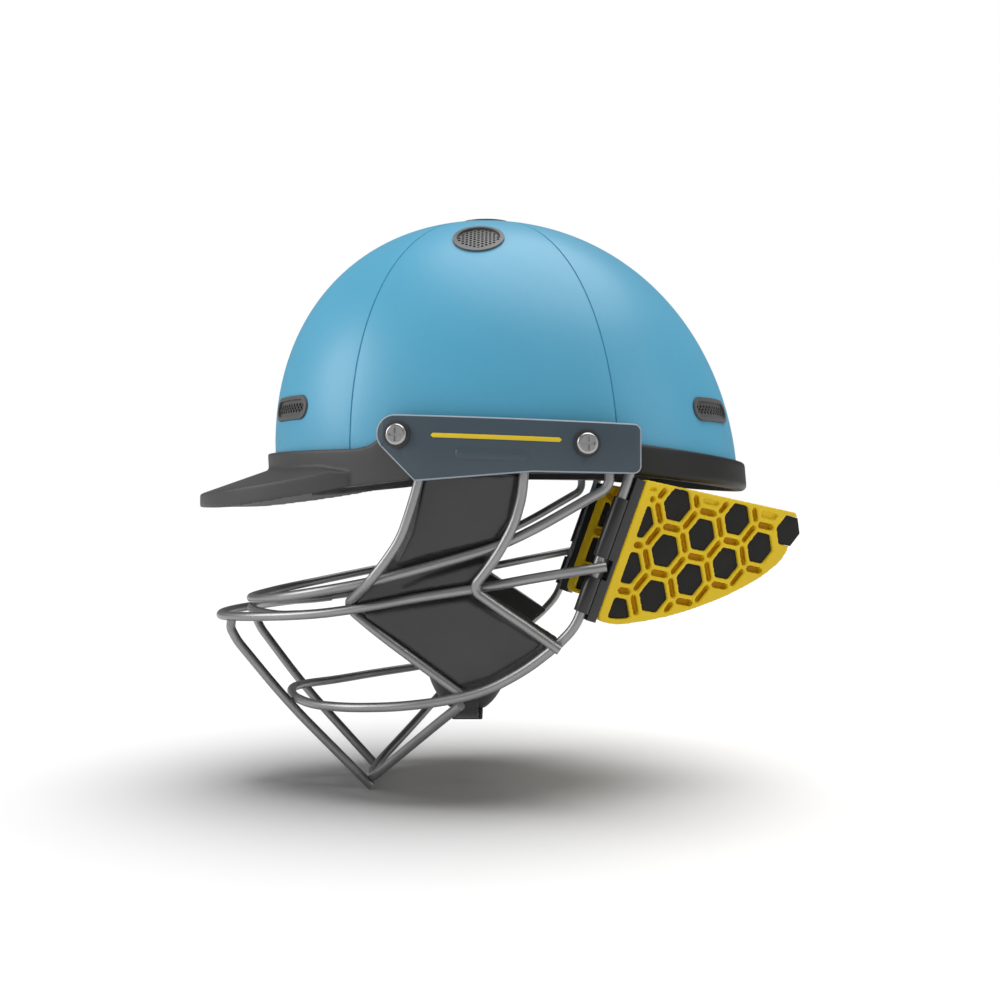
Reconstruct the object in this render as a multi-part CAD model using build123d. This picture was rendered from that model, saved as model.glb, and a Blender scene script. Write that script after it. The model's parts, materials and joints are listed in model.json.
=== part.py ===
from build123d import *
import math
import os

# A cricket helmet in millimetres: padded shell with a peak, a welded wire
# grille on side plates, clip-on neck guards and a chin strap.
# Front is -Y, the wearer's left is +X, up is +Z. The rim plane is Z = 0 and
# the origin is in the middle of it.

# General fits
gap = 0.3                   # between neighbours that don't touch
snug = 0.15                 # between an insert and its hole
overrun = 6.0               # how far a cutting tool runs past what it cuts

# Shell
shell_half_width = 103.0
shell_half_length = 132.0
shell_height = 142.5
shell_wall = 3.0
shell_edge_drop = 3.2       # the shell's edge below the rim plane
shell_lean_share = 0.084    # how far the dome leans forward per unit of height
dome_fullness_share = 0.584  # control handle of the profile, 0.552 is an ellipse
dome_skirt_share = 0.2      # straight skirt under the rim plane
crown_forward = 12.0        # the crown's top, forward of the middle

# Liner and comfort pads
liner_wall = 15.0
liner_edge_drop = 4.0
comfort_wall = 7.0
brow_pad_drop = 12.8        # under the rim plane at the next place, rising to the rear
brow_pad_drop_forward = 81.0
brow_pad_slope_share = 0.073
brow_pad_top = 28.0
brow_pad_back = 52.0        # rear ends of the brow pad, forward of the middle
rear_pad_drop = 3.0
rear_pad_top = 30.0
rear_pad_front = 62.0
side_pad_bottom = 24.0
side_pad_top = 62.0
side_pad_half_length = 40.0
crown_pad_radius = 40.0

# Vents
vent_proud = 1.1
vent_depth = 3.0
vent_rim = 2.1
mesh_recess = 0.1
mesh_wall = 1.4
round_vent_d = 27.5
round_vent_azimuth = 74.5   # from the front, round to the side
round_vent_elevation = 65.0
long_vent_length = 37.5
long_vent_width = 12.9
front_vent_azimuth = 21.4
rear_vent_azimuth = 156.0
front_vent_elevation = 14.3
rear_vent_elevation = 14.4
hole_d = 1.6
hole_pitch = 2.4
diamond_side = 1.8
diamond_pitch = 3.2

# Peak
band_wall = 4.3
band_top = 8.7
band_bottom = 10.9
band_heel = 7.3             # bottom of the band's rear ends
band_rear = 48.0            # rear ends of the band, forward of the middle
ear_run = 29.0              # length of the band's raised ear and its rise
ear_rise = 12.0
ear_shares = [(-1, 0), (-0.76, 0.13), (-0.6, 0.36), (-0.46, 0.72), (-0.36, 1), (0, 0.45)]
brim_front = 175.7
brim_half_width = 88.6
brim_centre_forward = 60.0
brim_end = 81.0             # square rear ends of the brim
brim_root_rise = -0.4
brim_fall_share = 0.354     # fall of the brim per unit of reach
brim_side_share = 0.49      # reach at the sides of the same fall
brim_thickness = 10.0
brim_dip_forward = 104.0    # from here back the brim's top dips to its ends
brim_dip_share = 0.168
brim_reach = 60.0           # reach of the sloping faces before they are cut

# Rear edge trim
trim_wall = 4.6
trim_clear = 4.1            # from the upper wire back to the trim's ends
trim_tilt = 6.2
trim_side = 67.0            # where the next two heights are measured
trim_top = 10.8
trim_bottom = 5.3
trim_low_round = 3.2
trim_top_round = 2.2

# Side plates
plate_stand_off = 7.0       # outer face proud of the shell's widest point
plate_wall = 2.0
plate_bend_radius = 260.0
plate_middle = 5.0
plate_front = 65.4
plate_rear = 66.3
plate_front_top = 25.5
plate_rear_top = 20.2
plate_rear_bottom = 4.6
plate_belly = 3.7
plate_belly_rear = 12.0
plate_heel = 8.2
plate_heel_forward = 46.0
plate_nose = 11.5
plate_lobe_radius = 9.2
plate_corner_radius = 4.0

# Plate fixings
screw_front = 54.3
screw_front_up = 15.0
screw_rear = 38.6
screw_rear_up = 10.3
screw_d = 5.0
screw_head_d = 10.8
screw_head_height = 2.2
screw_slot_width = 1.4
screw_slot_depth = 1.1
screw_round_share = 0.6     # rounding of the head, of its height
screw_slot_share = 0.62     # length of the cross slot, of the head
washer_d = 13.6
washer_wall = 0.8
washer_fit = 0.1            # between the washer and the plate
spacer_d = 13.0
nut_d = 15.0
nut_wall = 2.6
nut_neck_d = 7.4

# Grille
wire_d = 5.0
weld_bite = 0.3             # how far welded wires sink into each other
grille_inset = 3.0
grille_forward = 33.0
grille_drop = 178.0
wire_top = 8.0              # wire ends behind the plates, above the rim plane
bend_share = 0.45

# Places on the wires: shares of the grille's half width, reach and drop,
# and then whole weld pitches outward
upper_wire_shares = [
    (0, -0.903, -0.413, 0), (0.38, -0.842, -0.403, 0), (0.64, -0.721, -0.385, 0),
    (0.78, -0.588, -0.362, 0), (0.86, -0.424, -0.333, 0), (0.915, -0.242, -0.287, 0),
    (0.965, -0.030, -0.230, 0), (0.99, 0.097, -0.173, 0), (1.005, 0.255, -0.088, 0),
]
middle_wire_shares = [
    (0, -1, -0.463, 0), (0.26, -0.97, -0.461, 0), (0.48, -0.848, -0.452, 0),
    (0.63, -0.697, -0.441, 0), (0.72, -0.576, -0.429, 0), (0.795, -0.436, -0.407, 0),
    (0.86, -0.273, -0.376, 0), (0.92, -0.085, -0.348, 0), (0.96, 0.097, -0.315, 0),
    (0.99, 0.242, -0.291, 1), (0.99, 0.295, -0.283, 1),
]
front_arc_shares = [
    (0, -0.891, -0.437, 0), (0.25, -0.867, -0.441, 0), (0.44, -0.794, -0.444, 0),
    (0.537, -0.735, -0.445, 0), (0.598, -0.668, -0.440, 0),
]
lower_wire_shares = [
    (0, -0.758, -0.708, 0), (0.24, -0.727, -0.715, 0), (0.45, -0.642, -0.721, 0),
    (0.64, -0.509, -0.713, 0), (0.76, -0.345, -0.699, 0), (0.82, -0.194, -0.677, 0),
    (0.865, -0.061, -0.643, 0), (0.915, 0.061, -0.576, 0), (0.96, 0.152, -0.506, 0),
]
upright_low_share = (0.99, 0.206, -0.451, 0)
upright_high_share = (0.993, 0.369, -0.026, 0)
front_cheek_shares = [
    (1.008, -0.264, -0.034, 0), (0.995, -0.288, -0.112, 0), (0.975, -0.324, -0.208, 0),
    (0.955, -0.376, -0.278, 0), (0.875, -0.427, -0.336, 1), (0.84, -0.464, -0.368, 0),
    (0.745, -0.512, -0.407, -1), (0.77, -0.400, -0.486, 0), (0.795, -0.261, -0.579, 0),
    (0.80, -0.145, -0.657, 0),
]
rear_cheek_shares = [
    (1.055, 0.048, -0.031, 0), (1.04, 0.042, -0.09, 0), (1.025, 0.021, -0.163, 0),
    (0.965, -0.024, -0.242, 1), (0.985, -0.067, -0.30, 0), (0.912, -0.109, -0.348, 1),
    (0.975, -0.018, -0.407, 0), (0.988, 0.061, -0.455, 0), (0.958, 0.157, -0.518, 1),
]
chin_wire_shares = [
    (0.34, -0.921, -0.470, 0), (0.34, -0.924, -0.494, 0), (0.33, -0.903, -0.534, 0),
    (0.285, -0.739, -0.728, 0), (0.22, -0.461, -1, 0),
]
vee_wire_shares = [
    (0.835, -0.145, -0.687, 0), (0.70, -0.206, -0.742, 0), (0.42, -0.345, -0.871, 0),
    (0.235, -0.463, -0.977, 0), (0, -0.478, -0.986, 0),
]
upper_end_share = 0.305     # where wires meet the plate, of the reach
upper_top_share = 0.3066
upper_end_drop = 11.0       # where the upper wire turns up, below the rim plane
lower_end_share = 0.379
front_cheek_end_share = -0.255
rear_cheek_end_share = 0.0515

# Cheek pads
pad_wall = 11.0
pad_top = 4.6
pad_root_share = -0.045     # outline places above this run up to the rim plane
cushion_rise = 3.2
cushion_round = 3.0
cushion_taper = 30.0
upper_pad_inset = 6.5       # upper pad's outer face inside the shell's widest point
upper_pad_toe_share = 0.10
upper_pad_slope_share = 0.216
lower_pad_inset = 14.2
lower_pad_toe_share = 0.184
lower_pad_slope_share = 0.176
lower_pad_ref_forward = 14.0
lower_pad_ref_drop = 62.0
upper_pad_ref_forward = 43.0
upper_pad_ref_drop = 8.0
upper_pad_shares = [
    (-0.264, -0.040), (-0.288, -0.112), (-0.324, -0.208), (-0.376, -0.278),
    (-0.427, -0.336), (-0.500, -0.402), (-0.440, -0.420), (-0.100, -0.360),
    (-0.067, -0.300), (-0.018, -0.236), (0.021, -0.163), (0.042, -0.09), (0.048, -0.040),
]
lower_pad_shares = [
    (-0.503, -0.404), (-0.376, -0.500), (-0.261, -0.581), (-0.145, -0.655),
    (-0.061, -0.637), (0.061, -0.570), (0.150, -0.507), (0.061, -0.452),
    (-0.018, -0.404), (-0.085, -0.372), (-0.106, -0.348), (-0.300, -0.370),
]
upper_cushion_shares = [
    (-0.252, -0.042), (-0.300, -0.180), (-0.345, -0.265), (-0.372, -0.300),
    (-0.250, -0.262), (-0.030, -0.212), (0.014, -0.155), (0.038, -0.042),
]
wedge_cushion_shares = [
    (-0.460, -0.392), (-0.250, -0.308), (-0.035, -0.250), (-0.075, -0.312),
    (-0.115, -0.338), (-0.260, -0.362),
]
lower_cushion_shares = [
    (-0.478, -0.421), (-0.345, -0.505), (-0.244, -0.573), (-0.143, -0.642),
    (-0.046, -0.614), (0.057, -0.553), (0.126, -0.504), (0.035, -0.450),
    (-0.060, -0.398), (-0.118, -0.367), (-0.280, -0.391),
]

# Chin strap
strap_axis_forward = 22.5
strap_axis_up = 8.0
anchor_d = 16.0
anchor_wall = 2.0
anchor_collar_d = 9.0
anchor_collar = 3.0
anchor_pin_d = 5.0
anchor_head_d = 10.0
anchor_head_wall = 1.5
pin_fit = 0.05
strap_width = 13.5
strap_wall = 1.8
strap_eye = 7.5             # half the width of the strap's rounded end
strap_points_shares = [
    (0.92, -0.35), (0.82, -0.62), (0.62, -0.86), (0.42, -0.965),
]
strap_level_share = 0.17    # the strap runs level from here to the middle
strap_bend_share = 0.9      # of the largest bend that fits
strap_drop = 142.8          # rim plane to the underside of the strap
cup_half_width = 30.0
cup_half_length = 24.5
cup_depth = 36.0
cup_wall = 6.0
cup_recess = 4.2            # channel under the cup for the slider
buckle_length = 26.0
buckle_width = 20.0
buckle_wall = 6.5
buckle_drop = 22.0
slider_length = 24.0
slider_width = 17.4
slider_wall = 6.0

# Neck guards
hinge_share = 0.556         # the guard's middle, up the straight upright
guard_wall = 12.0
guard_outer = 3.5           # outer face beyond the hinge axis
guard_toe = 30.5            # how far the guards turn in towards the back
guard_front = 8.6           # front edge behind the hinge axis
guard_length = 117.0
guard_height = 88.0
guard_outline_shares = [
    (0.0735, 0.41), (0.0735, -0.440), (0.18, -0.434), (0.33, -0.363),
    (0.50, -0.260), (0.72, -0.085), (0.90, 0.11), (0.985, 0.25), (1, 0.35),
    (1, 0.52), (0.97, 0.562),
]
guard_corner_radius = 4.0
cell_pitch = 24.2
cell_flats = 16.0
cell_turn = 6.0
cell_home_u = 55.3
cell_home_v = 19.9
cell_round = 1.0
cell_margin = 3.0
front_margin = 6.2          # plain strip along the guard's front edge
whole_cells = [(0, 0), (-1, 0), (-1, 1), (-1, -1), (0, -1), (1, 0), (1, -1), (2, -1)]
edge_cells = [(-2, 1), (-2, 0), (-2, -1)]
pocket_cells = [(0, 1), (2, 0), (-2, 2)]
plain_web = (2, -1, 4)      # the cell and side whose web has no slot
tip_cell_back = 3.6         # the tip cell lies nearer the others than the pitch
pocket_depth = 2.0
slot_length = 11.5
slot_width = 3.2
slot_depth = 3.5
slot_margin = 2.0
slot_steps = 20             # places tried on each half of a slot's middle line
foam_recess = 1.2
sleeve_wall = 1.1
sleeve_fit = 0.25
sleeve_mouth = 3.4
sleeve_top = 23.0
sleeve_upper_end = -8.0
sleeve_lower_start = -18.5
sleeve_bottom = -37.0
strip_front = 2.6
strip_top = 35.0
strip_bottom = -40.0
strip_inner = 4.0           # strip's inner face inside the hinge axis
strip_outer = 3.3
relief_back = 6.0           # the relief for the free wire end, behind the hinge axis
bend_fit = 0.8              # round the upright's bends

big = shell_half_length * 4
grille_half_width = shell_half_width - grille_inset
grille_reach = shell_half_length + grille_forward
weld_pitch = wire_d - weld_bite
plate_outer_x = shell_half_width + plate_stand_off
plate_centre_x = plate_outer_x - plate_bend_radius
liner_outer = -(shell_wall + gap)
liner_inner = liner_outer - liner_wall
comfort_outer = liner_inner - gap
comfort_inner = comfort_outer - comfort_wall
side_view = Plane(origin=(0, 0, 0), x_dir=(0, 1, 0), z_dir=(1, 0, 0))


def unit_dome():
    """A dome of unit size with a straight skirt, round about Z."""
    crown = (0, 0, 1)
    side = (1, 0, 0)
    skirt = (1, 0, -dome_skirt_share)
    foot = (0, 0, -dome_skirt_share)
    profile = Bezier(crown, (dome_fullness_share, 0, 1), (1, 0, dome_fullness_share), side)
    outline = profile + Polyline(side, skirt, foot, crown)
    return revolve(make_face(outline), Axis.Z)


round_dome = unit_dome()
domes = {}


def dome(grow):
    """The helmet's dome, solid, with its face moved out by grow."""
    if grow not in domes:
        width = shell_half_width + grow
        length = shell_half_length + grow
        height = shell_height + grow
        lean = shell_lean_share * height
        rows = [[width, 0, 0, 0], [0, length, -lean, 0], [0, 0, height, 0], [0, 0, 0, 1]]
        domes[grow] = round_dome.transform_geometry(Matrix(rows))
    return domes[grow]


def slab(low, high):
    """Everything between two heights."""
    return Pos(0, 0, low) * Box(big, big, high - low, align=(Align.CENTER, Align.CENTER, Align.MIN))


def layer(outer, inner, low):
    """A dome shell between two growths, open at the height low."""
    return (dome(outer) - dome(inner)) & slab(low, big)


def behind(y):
    """Everything behind the plane at y."""
    return Pos(0, y, 0) * Box(big, big, big, align=(Align.CENTER, Align.MIN, Align.CENTER))


def ahead(y):
    """Everything ahead of the plane at y."""
    return Pos(0, y, 0) * Box(big, big, big, align=(Align.CENTER, Align.MAX, Align.CENTER))


def save(shape, name):
    """Write one node."""
    export_step(Compound(children=list(shape.solids())), os.path.join("parts", name + ".step"))


def save_pair(shape, name):
    """Write the left node and its mirror image on the right."""
    save(shape, "left_" + name)
    save(mirror(shape, about=Plane.YZ), "right_" + name)


# Vents

def seat(azimuth, elevation, upright):
    """The plane on the dome in a direction from the middle of the rim plane."""
    level = math.cos(math.radians(elevation))
    way = Vector(
        level * math.sin(math.radians(azimuth)),
        -level * math.cos(math.radians(azimuth)),
        math.sin(math.radians(elevation)),
    )
    hits = dome(0).find_intersection_points(Axis((0, 0, 0), way))
    point, normal = max(hits, key=lambda hit: hit[0].dot(way))
    if normal.dot(way) < 0:
        normal = normal * -1
    side = upright.cross(normal)
    return Plane(origin=point, x_dir=side, z_dir=normal)


def prism(plane, sketch):
    """A sketch run through the dome's wall, both ways."""
    reach = vent_depth + liner_wall + overrun
    return extrude(plane * sketch, amount=reach, both=True)


def round_holes():
    """Round holes in rows, inside a round vent's rim."""
    limit = round_vent_d / 2 - vent_rim - hole_d / 2 - snug
    rows = math.ceil(round_vent_d / hole_pitch)
    holes = Sketch()
    for row in range(-rows, rows + 1):
        for column in range(-rows, rows + 1):
            x = (column + row / 2) * hole_pitch
            y = row * hole_pitch * math.sqrt(3) / 2
            if math.hypot(x, y) < limit:
                holes += Pos(x, y) * Circle(hole_d / 2)
    return holes


def diamond_holes():
    """Diamond holes in staggered rows, inside a long vent's rim."""
    half_length = long_vent_length / 2 - vent_rim - diamond_side
    half_width = long_vent_width / 2 - vent_rim - diamond_side / math.sqrt(2)
    columns = math.ceil(half_length / diamond_pitch)
    holes = Sketch()
    for row in range(-2, 3):
        for column in range(-columns - 1, columns + 2):
            x = (column + (row % 2) / 2) * diamond_pitch
            y = row * diamond_pitch / 2
            if abs(x) < half_length and abs(y) < half_width:
                holes += Pos(x, y) * Rot(0, 0, 45) * Rectangle(diamond_side, diamond_side)
    return holes


def vent(plane, outline, opening, holes):
    """A vent insert: a proud rim round a recessed mesh."""
    body = (prism(plane, outline) & dome(vent_proud)) - dome(-vent_depth)
    mouth = prism(plane, opening) - dome(-mesh_recess)
    back = prism(plane, opening) & dome(-mesh_recess - mesh_wall)
    return body - mouth - back - prism(plane, holes)


def long_outline(grow):
    """A long vent's outline, grown all round."""
    return SlotOverall(long_vent_length + 2 * grow, long_vent_width + 2 * grow)


def round_outline(grow):
    """A round vent's outline, grown all round."""
    return Circle(round_vent_d / 2 + grow)


crown_seat = seat(0, math.degrees(math.atan2(shell_height, crown_forward)), Vector(0, 1, 0))
top_seat = seat(round_vent_azimuth, round_vent_elevation, Vector(0, 1, 0))
front_seat = seat(front_vent_azimuth, front_vent_elevation, Vector(0, 0, 1))
rear_seat = seat(rear_vent_azimuth, rear_vent_elevation, Vector(0, 0, 1))


def both(shape):
    """A shape and its mirror image."""
    return [shape, mirror(shape, about=Plane.YZ)]


def vent_cutters(grow):
    """The holes through the dome for all vents."""
    tools = [prism(crown_seat, round_outline(grow))]
    tools += both(prism(top_seat, round_outline(grow)))
    tools += both(prism(front_seat, long_outline(grow)))
    tools += both(prism(rear_seat, long_outline(grow)))
    return tools


# Side plates and their fixings

def plate_inner_x(y):
    """X of the plate's inner face at a place along the helmet."""
    radius = plate_bend_radius - plate_wall
    return plate_centre_x + math.sqrt(radius ** 2 - (y - plate_middle) ** 2)


def fixing_plane(y, z):
    """A plane on the plate's inner face, looking out."""
    x = plate_inner_x(y)
    out = Vector(x - plate_centre_x, y - plate_middle, 0)
    return Plane(origin=(x, y, z), x_dir=(0, 0, 1), z_dir=out)


fixing_planes = [fixing_plane(-screw_front, screw_front_up), fixing_plane(screw_rear, screw_rear_up)]


def rod(plane, diameter, start, end):
    """A round rod on a plane's axis between two heights over the plane."""
    base = plane.offset(start)
    return extrude(base * Circle(diameter / 2), amount=end - start)


def side_plate():
    """The left side plate with its two screw holes."""
    nose = (-plate_front, plate_nose)
    lobe = (-plate_front, plate_front_top)
    tail_top = (plate_rear, plate_rear_top)
    tail = (plate_rear, -plate_rear_bottom)
    belly = (plate_belly_rear, -plate_belly)
    heel = (-plate_heel_forward, -plate_heel)
    face = make_face(Polyline(nose, lobe, tail_top, tail, belly, heel, close=True))
    lobe_corners = [v for v in face.vertices() if v.X < -plate_front + gap]
    face = fillet(lobe_corners, plate_lobe_radius)
    tail_corners = [v for v in face.vertices() if v.X > plate_rear - gap]
    face = fillet(tail_corners, plate_corner_radius)
    block = extrude(side_view * face, amount=plate_outer_x + overrun)
    tall = Pos(plate_centre_x, plate_middle, 0)
    sleeve = Cylinder(plate_bend_radius, big) - Cylinder(plate_bend_radius - plate_wall, big)
    plate = block & (tall * sleeve)
    for plane in fixing_planes:
        plate -= rod(plane, screw_d + 2 * snug, -overrun, overrun)
    return plate


def screw(plane):
    """A pan-head screw with a cross slot, from the washer to the nut."""
    start = plate_wall + washer_wall
    head = rod(plane, screw_head_d, start, start + screw_head_height)
    rim = head.edges().group_by(Axis(plane.origin, plane.z_dir))[-1]
    head = fillet(rim, screw_head_height * screw_round_share)
    shank = rod(plane, screw_d, -screw_reach(plane), start + snug)
    base = plane.offset(start + screw_head_height - screw_slot_depth)
    slot_run = screw_head_d * screw_slot_share
    bar = extrude(base * Rectangle(slot_run, screw_slot_width), amount=overrun)
    cross = extrude(base * Rectangle(screw_slot_width, slot_run), amount=overrun)
    return head + shank - bar - cross


def depth_to(grow, plane):
    """How far under the plate's inner face the dome lies, on the screw's axis."""
    hits = dome(grow).find_intersection_points(Axis(plane.origin, plane.z_dir))
    heights = [(point - plane.origin).dot(plane.z_dir) for point, normal in hits]
    return -max(heights)


def screw_reach(plane):
    """How far the shank runs under the plate's inner face."""
    return depth_to(-shell_wall, plane) + nut_wall


def washer(plane):
    """A dark washer under the screw's head."""
    ring = rod(plane, washer_d, plate_wall + washer_fit, plate_wall + washer_wall)
    return ring - rod(plane, screw_d + 2 * snug, -overrun, overrun)


def spacer(plane):
    """A rubber spacer from the shell to the plate."""
    tube = rod(plane, spacer_d, -depth_to(0, plane) - overrun, -snug)
    return tube - dome(snug) - rod(plane, screw_d + 2 * snug, -big, big)


def nut(plane):
    """A flanged nut inside the shell, its neck in the shell's hole."""
    inside = depth_to(-shell_wall, plane)
    flange = rod(plane, nut_d, -inside - nut_wall, -inside - gap)
    neck = rod(plane, nut_neck_d, -inside - nut_wall, -inside + shell_wall / 2)
    bore = rod(plane, screw_d + 2 * snug, -big, big)
    return (flange & dome(-shell_wall - snug)) + neck - bore


def nut_pocket(plane):
    """Room in the liner for a nut."""
    inside = depth_to(-shell_wall, plane)
    return rod(plane, nut_d + 2 * gap, -inside - nut_wall - gap, overrun)


def neck_hole(plane):
    """The shell's hole for a nut's neck."""
    return rod(plane, nut_neck_d + 2 * snug, -big / 4, overrun)


# Shell, liner and pads

def outer_shell(vent_holes):
    """The moulded shell."""
    shell = layer(0, -shell_wall, -shell_edge_drop)
    for hole in vent_holes:
        shell -= hole
    for plane in fixing_planes:
        for hole in both(neck_hole(plane)):
            shell -= hole
    return shell


def impact_liner(air_holes):
    """The foam liner, with air channels and nut pockets."""
    liner = layer(liner_outer, liner_inner, -liner_edge_drop)
    for hole in air_holes:
        liner -= hole
    for plane in fixing_planes:
        for pocket in both(nut_pocket(plane)):
            liner -= pocket
    return liner


def comfort_layer(low):
    """The layer that all comfort pads are cut from."""
    return layer(comfort_outer, comfort_inner, low)


def brow_pad():
    """The pad round the front of the head."""
    low = Plane(
        origin=(0, -brow_pad_drop_forward, -brow_pad_drop), z_dir=(0, -brow_pad_slope_share, 1)
    )
    pad = comfort_layer(-shell_height / 2) & extrude(low * Rectangle(big, big), amount=big)
    return pad & slab(-big, brow_pad_top) & ahead(-brow_pad_back)


def rear_pad():
    """The pad round the back of the head."""
    return comfort_layer(-rear_pad_drop) & slab(-big, rear_pad_top) & behind(rear_pad_front)


def side_pad():
    """The pad over the left ear."""
    half = Pos(0, 0, side_pad_bottom) * Box(
        big, 2 * side_pad_half_length, side_pad_top - side_pad_bottom,
        align=(Align.MIN, Align.CENTER, Align.MIN),
    )
    return comfort_layer(side_pad_bottom) & half


def crown_pad():
    """The round pad over the crown."""
    column = Pos(0, -crown_forward, shell_height / 2) * Cylinder(
        crown_pad_radius, big, align=(Align.CENTER, Align.CENTER, Align.MIN)
    )
    return comfort_layer(0) & column


# Peak and rear trim

def ellipse_cone(offset):
    """The solid under a sloping face that falls away from the rim all round."""
    top = Pos(0, 0, brim_root_rise + offset) * Ellipse(
        shell_half_width + band_wall, shell_half_length + band_wall
    )
    fall = brim_fall_share * brim_reach
    foot = Pos(0, 0, brim_root_rise - fall + offset) * Ellipse(
        shell_half_width + band_wall + brim_side_share * brim_reach,
        shell_half_length + band_wall + brim_reach,
    )
    return loft([top.face(), foot.face()], ruled=True)


def ear_places():
    """The band's side view: level in front, with a raised ear behind each plate's nose."""
    ear = [(y * ear_run - band_rear, band_top + z * ear_rise) for y, z in ear_shares]
    return [(-big, -band_bottom), (-big, band_top)] + ear + [
        (-band_rear, -band_heel), (-brim_end, -band_bottom),
    ]


def peak():
    """The brim and the edge band round the front, one moulding."""
    side = make_face(Polyline(*ear_places(), close=True))
    band = dome(band_wall) & extrude(side_view * side, amount=big, both=True)
    plan = Pos(0, -brim_centre_forward, 0) * Ellipse(brim_half_width, brim_front - brim_centre_forward)
    crescent = extrude(plan, amount=big / 4, both=True) & ahead(-brim_end)
    brim = crescent & ellipse_cone(0) - ellipse_cone(-brim_thickness)
    dip = Plane(origin=(0, -brim_dip_forward, 0), z_dir=(0, brim_dip_share, 1))
    brim -= extrude(dip * Rectangle(big, big), amount=big) & behind(-brim_dip_forward)
    body = band + brim
    body -= dome(gap) & slab(-shell_edge_drop - gap, big)
    body -= dome(-shell_wall)
    for plane in fixing_planes:
        for hole in both(rod(plane, spacer_d + 2 * gap, -big / 4, overrun)):
            body -= hole
    return body


def long_rims(body):
    """The long curved edges of the trim's outline, the lowest first."""
    curved = body.edges().filter_by(GeomType.BSPLINE)
    return curved.filter_by(lambda edge: edge.length > 2 * shell_half_width).sort_by(Axis.Z)


def rear_trim():
    """The edge trim round the back, sloping down towards the nape."""
    low = Plane(origin=(0, trim_side, -trim_bottom), z_dir=(0, 0, 1)).rotated((-trim_tilt, 0, 0))
    height = trim_top + trim_bottom
    tilted = extrude(low * Rectangle(big, big), amount=height)
    start = upper_end_share * grille_reach + wire_d / 2 + trim_clear
    body = dome(trim_wall) & tilted & behind(start)
    body = fillet([long_rims(body)[0]], trim_low_round)
    body = fillet([long_rims(body)[-1]], trim_top_round)
    body -= dome(gap) & slab(-shell_edge_drop - gap, big)
    return body - dome(-shell_wall) - lower_wire(gap) - upper_wire(gap)


# Grille

def place(row):
    """A wire's point from its shares and weld pitches."""
    x, y, z, pitches = row
    return Vector(
        x * grille_half_width + pitches * weld_pitch, y * grille_reach, z * grille_drop
    )


def plate_end(y_share, z):
    """A point where a wire lies welded against the plate's inner face."""
    y = y_share * grille_reach
    return Vector(plate_inner_x(y) - wire_d / 2 + weld_bite / 2, y, z)


def flip(point):
    """The point's mirror image."""
    return Vector(-point.X, point.Y, point.Z)


def bend_radius(before, corner, after):
    """The largest smooth bend that two runs of a wire allow."""
    run_in = corner - before
    run_out = after - corner
    shorter = min(run_in.length, run_out.length)
    turn = math.radians(run_in.get_angle(run_out))
    return bend_share * shorter / math.tan(turn / 2)


def wire(points, spare=0.0):
    """A round wire along straight runs joined by tangent bends; spare fattens it."""
    corners = zip(points, points[1:], points[2:])
    radii = [bend_radius(*corner) for corner in corners]
    path = FilletPolyline(*points, radius=radii)
    section = Plane(origin=path @ 0, z_dir=path % 0) * Circle(wire_d / 2 + spare)
    return sweep(section, path=path)


def ring(half, spare=0.0):
    """A wire from its right end round the front to its left end."""
    return wire([flip(point) for point in reversed(half[1:])] + half, spare)


upright_low = place(upright_low_share)
upright_high = place(upright_high_share)


def upper_wire(spare=0.0):
    """The top ring, which rises behind the plates."""
    half = [place(row) for row in upper_wire_shares]
    half.append(plate_end(upper_end_share, -upper_end_drop))
    half.append(plate_end(upper_top_share, wire_top))
    return ring(half, spare)


def middle_wire(spare=0.0):
    """The ring with the front loop, whose ends stay free."""
    return ring([place(row) for row in middle_wire_shares], spare)


def front_arc_wire():
    """The arc inside the front loop."""
    return ring([place(row) for row in front_arc_shares])


def lower_wire(spare=0.0):
    """The chin ring, which turns up into both rear uprights."""
    half = [place(row) for row in lower_wire_shares]
    half += [upright_low, upright_high, plate_end(lower_end_share, wire_top)]
    return ring(half, spare)


def front_cheek_wire(spare=0.0):
    """The bent wire ahead of the left cheek."""
    top = plate_end(front_cheek_end_share, wire_top)
    return wire([top] + [place(row) for row in front_cheek_shares], spare)


def rear_cheek_wire(spare=0.0):
    """The bent wire behind the left cheek."""
    top = plate_end(rear_cheek_end_share, wire_top)
    return wire([top] + [place(row) for row in rear_cheek_shares], spare)


def chin_wire():
    """The left wire from the front loop down to the chin point."""
    return wire([place(row) for row in chin_wire_shares])


def chin_vee_wire():
    """The wire from the chin ring down to the chin point and up again."""
    half = [place(row) for row in reversed(vee_wire_shares)]
    return ring(half)


# Cheek pads

def pad_plane(x, y, z, toe_share, slope_share):
    """A leaning plane through a point; X grows by the shares along Y and Z."""
    back = Vector(toe_share, 1, 0)
    up = Vector(slope_share, 0, 1)
    return Plane(origin=(x, y, z), x_dir=back, z_dir=back.cross(up))


upper_plane = pad_plane(
    shell_half_width - upper_pad_inset, -upper_pad_ref_forward, -upper_pad_ref_drop,
    upper_pad_toe_share, upper_pad_slope_share,
)
lower_plane = pad_plane(
    shell_half_width - lower_pad_inset, -lower_pad_ref_forward, -lower_pad_ref_drop,
    lower_pad_toe_share, lower_pad_slope_share,
)


def pad_face(plane, shares):
    """The face on a leaning plane whose side view has the given outline."""
    points = []
    for y_share, z_share in shares:
        y = y_share * grille_reach
        z = z_share * grille_drop
        if z_share > pad_root_share:
            z = 0
        lift = (plane.origin - Vector(0, y, z)).dot(plane.z_dir) / plane.z_dir.X
        local = plane.to_local_coords(Vector(lift, y, z))
        points.append((local.X, local.Y))
    return make_face(Polyline(*points, close=True))


def cushion(plane, shares):
    """A raised cushion with sloping sides."""
    face = offset(pad_face(plane, shares), -cushion_round)
    face = offset(face, cushion_round, kind=Kind.ARC)
    raised = extrude(face, amount=cushion_rise + gap, taper=cushion_taper)
    return plane * (Pos(0, 0, -gap) * raised)


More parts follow.
